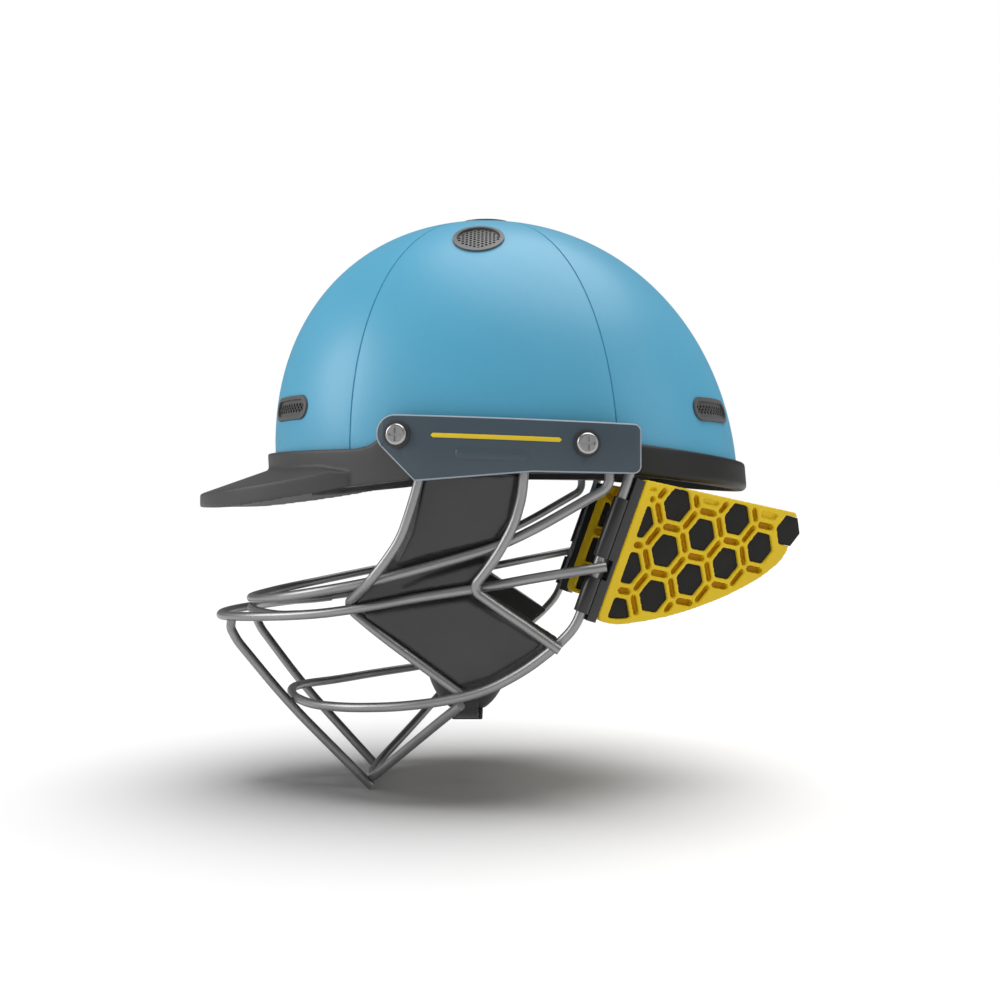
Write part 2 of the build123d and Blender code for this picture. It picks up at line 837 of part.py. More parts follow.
def cheek_pad():
    """The left cheek pad: two leaning slabs and three cushions."""
    upper = upper_plane * extrude(pad_face(upper_plane, upper_pad_shares), amount=-pad_wall)
    lower = lower_plane * extrude(pad_face(lower_plane, lower_pad_shares), amount=-pad_wall)
    pad = upper + lower
    pad += cushion(upper_plane, upper_cushion_shares)
    pad += cushion(lower_plane, wedge_cushion_shares)
    pad += cushion(lower_plane, lower_cushion_shares)
    pad &= slab(-big, -pad_top)
    pad -= slab(-band_bottom - 2 * gap, big) & ahead(2 * gap - band_rear)
    for groove in (upper_wire, middle_wire, lower_wire, front_cheek_wire, rear_cheek_wire):
        pad -= groove(gap)
    return max(pad.solids(), key=lambda solid: solid.volume)


# Chin strap

def liner_face_x(y, z):
    """X of the liner's inner face beside the left ear."""
    hits = dome(liner_inner).find_intersection_points(Axis((0, y, z), (1, 0, 0)))
    return max(point.X for point, normal in hits)


anchor_corner = (-strap_axis_forward - anchor_d / 2, strap_axis_up + anchor_d / 2)
anchor_x = liner_face_x(*anchor_corner) - gap - anchor_wall
strap_x = anchor_x - anchor_collar - gap - strap_wall / 2


def x_rod(diameter, start, end):
    """A round rod on the strap's swing axis between two places."""
    plane = Plane(origin=(start, -strap_axis_forward, strap_axis_up), z_dir=(1, 0, 0))
    return extrude(plane * Circle(diameter / 2), amount=end - start)


def strap_anchor():
    """The left anchor: a base plate, a collar and a headed pin."""
    inner = strap_x - strap_wall / 2 - gap
    base = x_rod(anchor_d, anchor_x, anchor_x + anchor_wall)
    collar = x_rod(anchor_collar_d, anchor_x - anchor_collar, anchor_x)
    pin = x_rod(anchor_pin_d, inner, anchor_x)
    head = x_rod(anchor_head_d, inner - anchor_head_wall, inner)
    return base + collar + pin + head


def strap_line():
    """The left strap's middle line in the X and Z of the helmet."""
    points = [(strap_x, strap_axis_up + strap_eye), (strap_x, strap_axis_up - strap_eye)]
    points += [(x * strap_x, z * strap_drop) for x, z in strap_points_shares]
    bottom = -strap_drop + slider_wall / 2 + gap
    points.append((strap_x * strap_level_share, bottom))
    points.append((gap, bottom))
    return points


def chin_strap():
    """The left half of the webbing, from its eye to the middle of the chin."""
    points = strap_line()
    flat = Plane(origin=(0, -strap_axis_forward + strap_width / 2, 0), x_dir=(1, 0, 0), z_dir=(0, -1, 0))
    middle = [Vector(x, z) for x, z in points]
    corners = zip(middle, middle[1:], middle[2:])
    radii = [bend_radius(*corner) * strap_bend_share for corner in corners]
    path = FilletPolyline(*middle, radius=radii)
    band = trace(path, line_width=strap_wall)
    web = extrude(flat * band, amount=strap_width)
    return web - x_rod(anchor_pin_d + 2 * pin_fit, 0, big)


def chin_cup():
    """The moulded cup under the chin."""
    low = -strap_drop + slider_wall + 2 * gap - cup_recess
    rows = [
        [cup_half_width, 0, 0, 0], [0, cup_half_length, 0, -strap_axis_forward],
        [0, 0, cup_depth, low + cup_depth], [0, 0, 0, 1],
    ]
    inner_rows = [
        [cup_half_width - cup_wall, 0, 0, 0], [0, cup_half_length - cup_wall, 0, -strap_axis_forward],
        [0, 0, cup_depth - cup_wall, low + cup_depth], [0, 0, 0, 1],
    ]
    ball = Sphere(1)
    outer = ball.transform_geometry(Matrix(rows))
    inner = ball.transform_geometry(Matrix(inner_rows))
    cup = (outer - inner) & slab(-big, low + cup_depth)
    channel = Box(
        2 * cup_half_width + overrun, slider_width + 2 * gap, cup_recess + overrun,
        align=(Align.CENTER, Align.CENTER, Align.MAX),
    )
    return cup - Pos(0, -strap_axis_forward, low + cup_recess) * channel


def strap_frame(length, width, wall):
    """A flat frame along X with a slot for the web."""
    return Box(length, width, wall) - Box(length + overrun, strap_width + 2 * gap, strap_wall + 2 * gap)


def strap_slider():
    """The slider that joins both webs under the chin."""
    frame = strap_frame(slider_length, slider_width, slider_wall)
    return Pos(0, -strap_axis_forward, -strap_drop + slider_wall / 2 + gap) * frame


def strap_buckle():
    """The side release buckle's body round the left web."""
    upper, lower = strap_line()[1:3]
    share = (upper[1] + buckle_drop) / (upper[1] - lower[1])
    x = upper[0] + (lower[0] - upper[0]) * share
    lean = math.degrees(math.atan2(upper[1] - lower[1], upper[0] - lower[0]))
    frame = strap_frame(buckle_length, buckle_width, buckle_wall)
    return Pos(x, -strap_axis_forward, -buckle_drop) * Rot(0, -lean, 0) * frame


# Neck guards

up_way = (upright_high - upright_low).normalized()
toe = math.radians(guard_toe)
level_way = Vector(-math.sin(toe), math.cos(toe), 0)
back_way = (level_way - up_way * level_way.dot(up_way)).normalized()
out_way = back_way.cross(up_way)
hinge_point = upright_low + (upright_high - upright_low) * hinge_share
guard_plane = Plane(origin=hinge_point, x_dir=back_way, z_dir=out_way)


def cell_place(i, j):
    """The middle of a honeycomb cell in the guard's plane."""
    up_turn = math.radians(90 + cell_turn)
    side_turn = math.radians(30 + cell_turn)
    u = cell_home_u + cell_pitch * (i * math.cos(side_turn) + j * math.cos(up_turn))
    v = cell_home_v + cell_pitch * (i * math.sin(side_turn) + j * math.sin(up_turn))
    return u, v


def hexagon(u, v, grow):
    """A honeycomb cell's outline."""
    radius = (cell_flats / 2 + grow) / math.cos(math.radians(30))
    face = RegularPolygon(radius, 6, rotation=cell_turn)
    return Pos(u, v) * fillet(face.vertices(), cell_round)


def guard_outline():
    """The guard's outline, with round corners."""
    points = [(u * guard_length, v * guard_height) for u, v in guard_outline_shares]
    front, low = points[1]
    sweep = [Vector(*point) for point in points[1:-1]]
    radii = [bend_radius(*corner) for corner in zip(sweep, sweep[1:], sweep[2:])]
    curve = FilletPolyline(*sweep, radius=radii)
    face = make_face(curve + Polyline(points[-2], points[-1], points[0], points[1]))
    low_corner = [v for v in face.vertices() if v.Y < low + gap and v.X < front + gap]
    return fillet(low_corner, guard_corner_radius)


def tip_place():
    """The middle of the foam cell at the guard's tip."""
    u, v = cell_place(3, -1)
    return u - tip_cell_back, v


def guard_cells(grow):
    """All open cells: whole ones, and those cut by the front margin."""
    front = guard_outline_shares[0][0] * guard_length + front_margin
    inside = offset(guard_outline(), -cell_margin) & Pos(front, 0) * Rectangle(
        big, big, align=(Align.MIN, Align.CENTER)
    )
    cells = [hexagon(*cell_place(*index), grow) for index in whole_cells]
    edge = offset(inside, grow) if grow else inside
    cells += [hexagon(*cell_place(*index), grow) & edge for index in edge_cells]
    return cells


def top_cutter():
    """Everything over the guard's level top face."""
    front = guard_outline_shares[0]
    rear = guard_outline_shares[-1]
    start = guard_plane.from_local_coords(
        Vector(front[0] * guard_length, front[1] * guard_height, guard_outer)
    )
    end = guard_plane.from_local_coords(
        Vector(rear[0] * guard_length, rear[1] * guard_height, guard_outer)
    )
    along = (end - start).normalized()
    flat_out = Vector(out_way.X, out_way.Y, 0).normalized()
    over = flat_out.cross(along).normalized()
    if over.Z < 0:
        over = over * -1
    plane = Plane(origin=start, x_dir=along, z_dir=over)
    return extrude(plane * Rectangle(big, big), amount=big / 4)


def guard_slab(sketch, high, low):
    """A sketch in the guard's plane made solid between two heights."""
    return guard_plane.offset(low) * extrude(sketch, amount=high - low)


guard_inner = guard_outer - guard_wall


def slot_region():
    """Where a slot's middle line may run: the outline less its margins."""
    front = guard_outline_shares[0][0] * guard_length + front_margin + slot_width / 2
    return offset(guard_outline(), -slot_margin - slot_width / 2) & Pos(front, 0) * Rectangle(
        big, big, align=(Align.MIN, Align.CENTER)
    )


def web_slot(x, y, turn, limit):
    """The part of a web's slot whose middle line lies in the limit, if any."""
    along = Vector(math.cos(turn), math.sin(turn))
    reach = (slot_length - slot_width) / 2
    steps = [reach * step / slot_steps for step in range(-slot_steps, slot_steps + 1)]
    inside = [step for step in steps if limit.is_inside(Vector(x, y) + along * step)]
    if not inside:
        return None
    middle = Vector(x, y) + along * ((inside[0] + inside[-1]) / 2)
    length = inside[-1] - inside[0]
    slot = SlotCenterToCenter(length, slot_width) if length > gap else Circle(slot_width / 2)
    return Pos(middle.X, middle.Y) * Rot(0, 0, math.degrees(turn)) * slot


def web_slots():
    """The slots in the webs between cells."""
    found = {}
    limit = slot_region().face()
    tip = Vector(*tip_place())
    for index in whole_cells + edge_cells:
        u, v = cell_place(*index)
        for side in range(6):
            turn = math.radians(90 + cell_turn + 60 * side)
            x = u + cell_pitch / 2 * math.cos(turn)
            y = v + cell_pitch / 2 * math.sin(turn)
            slot = web_slot(x, y, turn + math.radians(90), limit)
            if slot and (*index, side) != plain_web and (tip - Vector(x, y)).length > cell_pitch / 2:
                found[(round(x), round(y))] = slot
    return list(found.values())


def guard_frame():
    """The honeycomb frame of the left neck guard."""
    outline = guard_outline()
    sketch = outline - hexagon(*tip_place(), snug)
    for cell in guard_cells(snug):
        sketch -= cell
    frame = guard_slab(sketch, guard_outer, guard_inner)
    slots = Sketch()
    for slot in web_slots():
        slots += slot
    frame -= guard_slab(slots, guard_outer + overrun, guard_outer - slot_depth)
    frame -= guard_slab(slots, guard_inner + slot_depth, guard_inner - overrun)
    inside = offset(outline, -cell_margin)
    for index in pocket_cells:
        pocket = hexagon(*cell_place(*index), 0) & inside
        frame -= guard_slab(pocket, guard_outer + overrun, guard_outer - pocket_depth)
    return frame - top_cutter()


def guard_foam():
    """The foam cells, recessed a little on both faces."""
    cells = guard_cells(0) + [hexagon(*tip_place(), 0)]
    foam = []
    for cell in cells:
        solid = guard_slab(cell, guard_outer - foam_recess, guard_inner + foam_recess)
        foam += (solid - top_cutter()).solids()
    return Compound(children=foam)


def guard_clip():
    """The clip strip with two snap sleeves round the upright wire."""
    bore = wire_d / 2 + sleeve_fit
    outer = bore + sleeve_wall
    upright = Plane(origin=hinge_point, x_dir=back_way, z_dir=up_way)
    length = strip_top - strip_bottom
    width = guard_front - gap - strip_front
    strip = Pos(strip_front + width / 2, (strip_inner - strip_outer) / 2, 0) * Box(
        width, strip_inner + strip_outer, length, align=(Align.CENTER, Align.CENTER, Align.MIN)
    )
    clip = upright.offset(strip_bottom) * strip
    for low, high in ((sleeve_upper_end, sleeve_top), (sleeve_bottom, sleeve_lower_start)):
        clip += extrude(upright.offset(low) * Circle(outer), amount=high - low)
    clip -= extrude(upright.offset(strip_bottom - overrun) * Circle(bore), amount=length + 2 * overrun)
    mouth = Rectangle(sleeve_mouth, big / 8, align=(Align.CENTER, Align.MIN))
    clip -= extrude(upright.offset(strip_bottom - overrun) * mouth, amount=length + 2 * overrun)
    relief = Pos(relief_back, 0, 0) * Box(
        2 * relief_back, strip_outer + overrun, sleeve_upper_end - sleeve_lower_start,
        align=(Align.MAX, Align.MAX, Align.MIN),
    )
    clip -= upright.offset(sleeve_lower_start) * relief
    for low, high in ((strip_bottom - overrun, sleeve_bottom), (sleeve_top, strip_top + overrun)):
        end = upright.offset(low) * Box(big, big, high - low, align=(Align.CENTER, Align.CENTER, Align.MIN))
        clip -= lower_wire(bend_fit) & end
    return clip - top_cutter()


os.makedirs("parts", exist_ok=True)
all_vents = vent_cutters(snug)
save(outer_shell(all_vents), "outer_shell")
save(impact_liner(vent_cutters(-vent_rim)), "impact_liner")
save(crown_pad(), "crown_pad")
save(brow_pad(), "brow_pad")
save(rear_pad(), "rear_pad")
save_pair(side_pad(), "side_pad")
save(peak(), "peak")
save(rear_trim(), "rear_trim")
save(vent(crown_seat, round_outline(0), round_outline(-vent_rim), round_holes()), "crown_vent")
save_pair(vent(top_seat, round_outline(0), round_outline(-vent_rim), round_holes()), "top_vent")
save_pair(vent(front_seat, long_outline(0), long_outline(-vent_rim), diamond_holes()), "front_vent")
save_pair(vent(rear_seat, long_outline(0), long_outline(-vent_rim), diamond_holes()), "rear_vent")
save_pair(side_plate(), "side_plate")
for make, name in ((screw, "screws"), (washer, "washers"), (spacer, "spacers"), (nut, "nuts")):
    pieces = [piece for plane in fixing_planes for piece in both(make(plane))]
    save(Compound(children=[s for piece in pieces for s in piece.solids()]), "plate_" + name)
save(upper_wire(), "upper_wire")
save(middle_wire(), "middle_wire")
save(front_arc_wire(), "front_arc_wire")
save(lower_wire(), "lower_wire")
save_pair(front_cheek_wire(), "front_cheek_wire")
save_pair(rear_cheek_wire(), "rear_cheek_wire")
save_pair(chin_wire(), "chin_wire")
save(chin_vee_wire(), "chin_vee_wire")
save_pair(cheek_pad(), "cheek_pad")
save_pair(strap_anchor(), "strap_anchor")
save_pair(chin_strap(), "chin_strap")
save(chin_cup(), "chin_cup")
save(strap_slider(), "strap_slider")
save(strap_buckle(), "strap_buckle")
save_pair(guard_clip(), "guard_clip")
save_pair(guard_frame(), "guard_frame")
save_pair(guard_foam(), "guard_foam")
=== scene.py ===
"""Looks of a cricket helmet: shell, comfort pads, cheek pads, webbing, guards, finishes and light."""

from __future__ import annotations

import json
import logging
import math
from dataclasses import dataclass, field
from enum import Enum
from functools import partial
from typing import Callable, Sequence

import bmesh
import bpy
import numpy as np
from mathutils import Matrix, Vector

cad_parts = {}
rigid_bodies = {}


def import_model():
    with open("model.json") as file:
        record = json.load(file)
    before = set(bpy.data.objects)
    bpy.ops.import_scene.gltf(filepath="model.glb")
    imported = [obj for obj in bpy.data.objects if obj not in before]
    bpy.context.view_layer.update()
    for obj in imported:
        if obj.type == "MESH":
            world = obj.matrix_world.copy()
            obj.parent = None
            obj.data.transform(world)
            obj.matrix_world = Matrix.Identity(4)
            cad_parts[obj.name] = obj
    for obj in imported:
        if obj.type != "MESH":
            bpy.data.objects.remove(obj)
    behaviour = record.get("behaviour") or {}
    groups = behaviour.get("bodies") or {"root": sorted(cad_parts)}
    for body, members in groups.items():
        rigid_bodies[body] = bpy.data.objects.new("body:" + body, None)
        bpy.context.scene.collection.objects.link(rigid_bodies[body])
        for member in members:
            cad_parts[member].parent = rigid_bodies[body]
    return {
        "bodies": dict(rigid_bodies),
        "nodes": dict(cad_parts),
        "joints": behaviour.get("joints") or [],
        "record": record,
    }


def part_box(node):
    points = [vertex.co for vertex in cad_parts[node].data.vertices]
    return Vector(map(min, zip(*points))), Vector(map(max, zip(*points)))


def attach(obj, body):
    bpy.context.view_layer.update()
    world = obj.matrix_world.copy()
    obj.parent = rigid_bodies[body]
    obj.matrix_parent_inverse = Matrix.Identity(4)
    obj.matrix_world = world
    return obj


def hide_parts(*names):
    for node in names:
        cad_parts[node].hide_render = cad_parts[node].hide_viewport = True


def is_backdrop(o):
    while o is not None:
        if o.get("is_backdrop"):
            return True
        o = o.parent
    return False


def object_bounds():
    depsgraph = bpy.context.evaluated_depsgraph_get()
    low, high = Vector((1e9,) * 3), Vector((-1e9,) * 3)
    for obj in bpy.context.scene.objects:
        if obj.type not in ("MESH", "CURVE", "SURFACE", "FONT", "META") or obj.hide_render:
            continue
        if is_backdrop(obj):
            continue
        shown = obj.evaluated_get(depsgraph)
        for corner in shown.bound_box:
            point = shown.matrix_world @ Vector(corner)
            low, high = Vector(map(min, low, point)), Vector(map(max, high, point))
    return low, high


log = logging.getLogger("helmet")
MM = 0.001
Colour = tuple[float, float, float]
Row = tuple[float, float, float]
BEVEL_FACETS = 3
DOUBLE_REACH = 1e-7
JOIN_REACH = 2e-6
FLAT_ANGLE = 0.6


class Body(Enum):
    """The moving groups that a piece can ride on."""

    HELMET = "helmet"
    STRAP = "chin_strap"
    LEFT_GUARD = "left_guard"
    RIGHT_GUARD = "right_guard"


class Side(Enum):
    """The wearer's left and right, with the sign of X."""

    LEFT = 1
    RIGHT = -1

    @property
    def word(self) -> str:
        """The word that starts a piece's name."""
        return self.name.lower()

    @property
    def guard_body(self) -> Body:
        """The body that this side's neck guard rides on."""
        return Body.LEFT_GUARD if self is Side.LEFT else Body.RIGHT_GUARD


class Grain(Enum):
    """Kinds of fine surface relief."""

    SKIN = "skin"
    BEADS = "beads"
    WEAVE = "weave"
    BRUSHED = "brushed"
    PEEL = "peel"


# Finishes


@dataclass(frozen=True)
class Finish:
    """One procedural finish on a Principled shader.

    Attributes:
        name: The material's name.
        dark: Linear colour in the low spots of the pattern.
        light: Linear colour in the high spots.
        grain: The kind of relief.
        grain_size: Size of one grain in metres.
        relief: Height of the relief in metres.
        patch_size: Size of the slow colour changes in metres.
        rough_low: Lowest roughness.
        rough_high: Highest roughness.
        metallic: Metal share.
        sheen: Cloth sheen weight.
        coat: Clear coat weight.
        specular: Strength of the plain reflection.
    """

    name: str
    dark: Colour
    light: Colour
    grain: Grain = Grain.SKIN
    grain_size: float = 0.6 * MM
    relief: float = 0.02 * MM
    patch_size: float = 40 * MM
    rough_low: float = 0.45
    rough_high: float = 0.6
    metallic: float = 0.0
    sheen: float = 0.0
    coat: float = 0.0
    specular: float = 0.5

    def material(self) -> bpy.types.Material:
        """The finish's material, made once.

        Returns:
            The material.
        """
        found = bpy.data.materials.get(self.name)
        if found:
            return found
        made = bpy.data.materials.new(self.name)
        made.use_nodes = True
        nodes, links = made.node_tree.nodes, made.node_tree.links
        shader = nodes["Principled BSDF"]
        shader.inputs["Metallic"].default_value = self.metallic
        shader.inputs["Sheen Weight"].default_value = self.sheen
        shader.inputs["Sheen Roughness"].default_value = 0.4
        shader.inputs["Coat Weight"].default_value = self.coat
        shader.inputs["Coat Roughness"].default_value = 0.25
        shader.inputs["Specular IOR Level"].default_value = self.specular
        place = nodes.new("ShaderNodeTexCoord")
        patches = nodes.new("ShaderNodeTexNoise")
        patches.inputs["Scale"].default_value = 1 / self.patch_size
        patches.inputs["Detail"].default_value = 4
        links.new(place.outputs["Object"], patches.inputs["Vector"])
        grains = self._grains(nodes, links, place)
        mix = nodes.new("ShaderNodeMath")
        mix.operation = "MULTIPLY_ADD"
        mix.inputs[1].default_value = 0.35
        links.new(grains, mix.inputs[0])
        links.new(patches.outputs["Fac"], mix.inputs[2])
        ramp = nodes.new("ShaderNodeValToRGB")
        ramp.color_ramp.elements[0].position = 0.35
        ramp.color_ramp.elements[1].position = 0.95
        ramp.color_ramp.elements[0].color = (*self.dark, 1)
        ramp.color_ramp.elements[1].color = (*self.light, 1)
        links.new(mix.outputs[0], ramp.inputs["Fac"])
        links.new(ramp.outputs["Color"], shader.inputs["Base Color"])
        rough = nodes.new("ShaderNodeMapRange")
        rough.inputs["To Min"].default_value = self.rough_low
        rough.inputs["To Max"].default_value = self.rough_high
        links.new(patches.outputs["Fac"], rough.inputs["Value"])
        links.new(rough.outputs["Result"], shader.inputs["Roughness"])
        bump = nodes.new("ShaderNodeBump")
        bump.inputs["Strength"].default_value = 1.0
        bump.inputs["Distance"].default_value = self.relief
        links.new(grains, bump.inputs["Height"])
        links.new(bump.outputs["Normal"], shader.inputs["Normal"])
        return made

    def _grains(
        self, nodes: bpy.types.Nodes, links: bpy.types.NodeLinks, place: bpy.types.Node
    ) -> bpy.types.NodeSocket:
        """The relief's texture.

        Args:
            nodes: The material's nodes.
            links: The material's links.
            place: The coordinate node.

        Returns:
            The socket that carries heights from 0 to 1.
        """
        if self.grain is Grain.WEAVE:
            return self._weave(nodes, links, place)
        source = place.outputs["Object"]
        if self.grain is Grain.BEADS:
            cells = nodes.new("ShaderNodeTexVoronoi")
            cells.inputs["Scale"].default_value = 1 / self.grain_size
            links.new(source, cells.inputs["Vector"])
            return cells.outputs["Distance"]
        if self.grain is Grain.BRUSHED:
            stretch = nodes.new("ShaderNodeMapping")
            stretch.inputs["Scale"].default_value = (1, 1, 6)
            links.new(source, stretch.inputs["Vector"])
            source = stretch.outputs["Vector"]
        noise = nodes.new("ShaderNodeTexNoise")
        noise.inputs["Scale"].default_value = 1 / self.grain_size
        noise.inputs["Detail"].default_value = 1 if self.grain is Grain.PEEL else 6
        links.new(source, noise.inputs["Vector"])
        return noise.outputs["Fac"]

    def _weave(
        self, nodes: bpy.types.Nodes, links: bpy.types.NodeLinks, place: bpy.types.Node
    ) -> bpy.types.NodeSocket:
        """Warp and weft bands on the piece's own UV map, in metres."""
        bands = []
        for direction in ("X", "Y"):
            wave = nodes.new("ShaderNodeTexWave")
            wave.bands_direction = direction
            wave.inputs["Scale"].default_value = 0.314 / self.grain_size
            wave.inputs["Distortion"].default_value = 0.4
            wave.inputs["Detail"].default_value = 1
            links.new(place.outputs["UV"], wave.inputs["Vector"])
            bands.append(wave.outputs["Fac"])
        meet = nodes.new("ShaderNodeMath")
        meet.operation = "MAXIMUM"
        links.new(bands[0], meet.inputs[0])
        links.new(bands[1], meet.inputs[1])
        return meet.outputs[0]


SHELL_PAINT = Finish(
    "sky_blue_shell", (0.066, 0.325, 0.50), (0.079, 0.358, 0.54), Grain.PEEL, 1.6 * MM, 0.006 * MM, 90 * MM,
    0.42, 0.5, coat=0.12,
)
PEAK_GREY = Finish("peak_grey", (0.040, 0.040, 0.040), (0.055, 0.055, 0.055), rough_high=0.56, specular=0.4)
TRIM_BLACK = Finish(
    "trim_black", (0.008, 0.008, 0.008), (0.015, 0.015, 0.014), rough_low=0.4, rough_high=0.5, specular=0.3,
)
PLATE_SLATE = Finish(
    "plate_slate", (0.040, 0.060, 0.078), (0.050, 0.073, 0.093), Grain.PEEL, 1.2 * MM, 0.006 * MM, 60 * MM,
    0.38, 0.48,
)
# Lighter slate for the plates' bevelled edge: a painted highlight.
PLATE_EDGE_HIGHLIGHT = Finish(
    "plate_edge_painted_highlight", (0.24, 0.28, 0.32), (0.30, 0.345, 0.385), Grain.PEEL, 1.2 * MM, 0.004 * MM,
    rough_low=0.35, rough_high=0.42,
)
SCREW_STEEL = Finish(
    "screw_steel", (0.36, 0.36, 0.36), (0.46, 0.46, 0.46), Grain.BRUSHED, 0.5 * MM, 0.003 * MM, 20 * MM,
    0.28, 0.38, metallic=1.0,
)
WASHER_DARK = Finish("washer_dark", (0.02, 0.02, 0.022), (0.04, 0.04, 0.042), rough_low=0.35, rough_high=0.5)
WIRE_METAL = Finish(
    "grille_wire_metal", (0.25, 0.25, 0.252), (0.34, 0.34, 0.343), Grain.BRUSHED, 0.7 * MM, 0.01 * MM,
    30 * MM, 0.34, 0.46, metallic=0.85,
)
VENT_GREY = Finish(
    "vent_grey", (0.070, 0.070, 0.070), (0.105, 0.105, 0.105), rough_low=0.35, rough_high=0.48,
)
LINER_FOAM = Finish(
    "liner_foam_beads", (0.010, 0.010, 0.010), (0.03, 0.03, 0.03), Grain.BEADS, 2.4 * MM, 0.12 * MM, 30 * MM,
    0.7, 0.85,
)
COMFORT_CLOTH = Finish(
    "comfort_cloth", (0.018, 0.018, 0.02), (0.045, 0.045, 0.05), Grain.BEADS, 0.8 * MM, 0.12 * MM, 25 * MM,
    0.85, 0.95, sheen=0.4,
)
CHEEK_SKIN = Finish(
    "cheek_pad_skin", (0.026, 0.026, 0.027), (0.040, 0.040, 0.041), Grain.SKIN, 0.7 * MM, 0.03 * MM, 30 * MM,
    0.36, 0.46, sheen=0.1,
)
CHEEK_INNER = Finish(
    "cheek_pad_inner_foam", (0.008, 0.008, 0.008), (0.016, 0.016, 0.016), Grain.BEADS, 0.9 * MM, 0.08 * MM,
    30 * MM, 0.7, 0.85,
)
WEBBING = Finish(
    "webbing_weave", (0.012, 0.012, 0.012), (0.04, 0.04, 0.04), Grain.WEAVE, 0.9 * MM, 0.15 * MM, 25 * MM,
    0.75, 0.9, sheen=0.3,
)
CUP_GREY = Finish(
    "chin_cup_grey", (0.038, 0.038, 0.04), (0.064, 0.064, 0.066), relief=0.03 * MM, rough_low=0.5,
)
BUCKLE_BLACK = Finish("buckle_black", (0.012, 0.012, 0.012), (0.024, 0.024, 0.024), rough_low=0.35)
CLIP_BLACK = Finish(
    "clip_black", (0.009, 0.009, 0.010), (0.017, 0.017, 0.018), rough_low=0.28, rough_high=0.4,
)
GUARD_YELLOW = Finish(
    "guard_yellow", (0.66, 0.44, 0.003), (0.76, 0.53, 0.006), Grain.SKIN, 1.0 * MM, 0.012 * MM, 45 * MM,
    0.38, 0.5, specular=0.3,
)
# Darker amber for the guards' slot floors: painted shade deep in the slots.
SLOT_SHADE_AMBER = Finish(
    "slot_painted_shade_amber", (0.42, 0.19, 0.001), (0.54, 0.27, 0.002), Grain.SKIN, 0.8 * MM, rough_low=0.5,
    specular=0.1,
)
GUARD_FOAM = Finish(
    "guard_foam_black", (0.008, 0.008, 0.008), (0.019, 0.018, 0.017), Grain.BEADS, 0.7 * MM, 0.06 * MM,
    20 * MM, 0.75, 0.9, specular=0.3,
)
ACCENT_YELLOW = Finish("plate_stripe_yellow", (0.66, 0.45, 0.006), (0.75, 0.54, 0.01), relief=0.004 * MM)


# Mesh helpers


def new_piece(name: str, data: bpy.types.Mesh) -> bpy.types.Object:
    """A linked object at the origin.

    Args:
        name: The piece's name.
        data: Its mesh.

    Returns:
        The object.
    """
    piece = bpy.data.objects.new(name, data)
    bpy.context.scene.collection.objects.link(piece)
    return piece


def mesh_from(name: str, points: Sequence[Vector], faces: Sequence[Sequence[int]]) -> bpy.types.Mesh:
    """A mesh with merged doubles and outward normals.

    Args:
        name: The mesh's name.
        points: The vertices.
        faces: Index lists.

    Returns:
        The mesh.
    """
    data = bpy.data.meshes.new(name)
    data.from_pydata([tuple(p) for p in points], [], [list(f) for f in faces])
    work = bmesh.new()
    work.from_mesh(data)
    bmesh.ops.remove_doubles(work, verts=work.verts, dist=DOUBLE_REACH)
    bmesh.ops.recalc_face_normals(work, faces=work.faces)
    work.to_mesh(data)
    work.free()
    return data


def smooth(piece: bpy.types.Object, angle: float = 35.0) -> None:
    """Smooth shading with sharp edges past an angle in degrees."""
    piece.data.shade_smooth()
    piece.data.set_sharp_from_angle(angle=math.radians(angle))


def bake_modifiers(piece: bpy.types.Object) -> None:
    """Turn the piece's modifiers into its plain mesh."""
    graph = bpy.context.evaluated_depsgraph_get()
    data = bpy.data.meshes.new_from_object(piece.evaluated_get(graph))
    piece.modifiers.clear()
    piece.data = data


def merged_copy(name: str, node: bpy.types.Object) -> bpy.types.Object:
    """A copy of a CAD node with its triangles joined and flat areas made whole.

    Args:
        name: The new piece's name.
        node: The CAD node's object.

    Returns:
        The new piece.
    """
    work = bmesh.new()
    work.from_mesh(node.data)
    bmesh.ops.remove_doubles(work, verts=work.verts, dist=JOIN_REACH)
    flat = math.radians(FLAT_ANGLE)
    bmesh.ops.dissolve_limit(work, angle_limit=flat, verts=work.verts, edges=work.edges)
    data = bpy.data.meshes.new(name)
    work.to_mesh(data)
    work.free()
    return new_piece(name, data)


def add_bevel(piece: bpy.types.Object, width: float, angle: float) -> bpy.types.BevelModifier:
    """Put a rounding on a piece's edges that are sharper than an angle.

    Args:
        piece: The piece.
        width: The rounding's width in metres.
        angle: The angle in degrees.

    Returns:
        The modifier.
    """
    bevel = piece.modifiers.new("edge", "BEVEL")
    bevel.width = width
    bevel.segments = BEVEL_FACETS
    bevel.limit_method = "ANGLE"
    bevel.angle_limit = math.radians(angle)
    return bevel


def softened(name: str, node: bpy.types.Object, width: float) -> bpy.types.Object:
    """A copy of a CAD node whose sharp edges are rounded over, as far as short edges let them.

    Args:
        name: The new piece's name.
        node: The CAD node's object.
        width: The rounding's width in metres.

    Returns:
        The new piece.
    """
    piece = merged_copy(name, node)
    add_bevel(piece, width, 38).use_clamp_overlap = True
    bake_modifiers(piece)
    smooth(piece, 40)
    return piece


def moulded(name: str, node: bpy.types.Object, voxel: float, rounds: int) -> bpy.types.Object:
    """A copy of a CAD node with an even skin, relaxed so that every edge turns round.

    Args:
        name: The new piece's name.
        node: The CAD node's object.
        voxel: Size of the skin's squares in metres.
        rounds: How often the skin is relaxed.

    Returns:
        The new piece.
    """
    piece = merged_copy(name, node)
    skin = piece.modifiers.new("skin", "REMESH")
    skin.mode = "VOXEL"
    skin.voxel_size = voxel
    relax = piece.modifiers.new("round", "SMOOTH")
    relax.factor = 0.5
    relax.iterations = rounds
    bake_modifiers(piece)
    piece.data.shade_smooth()
    return piece


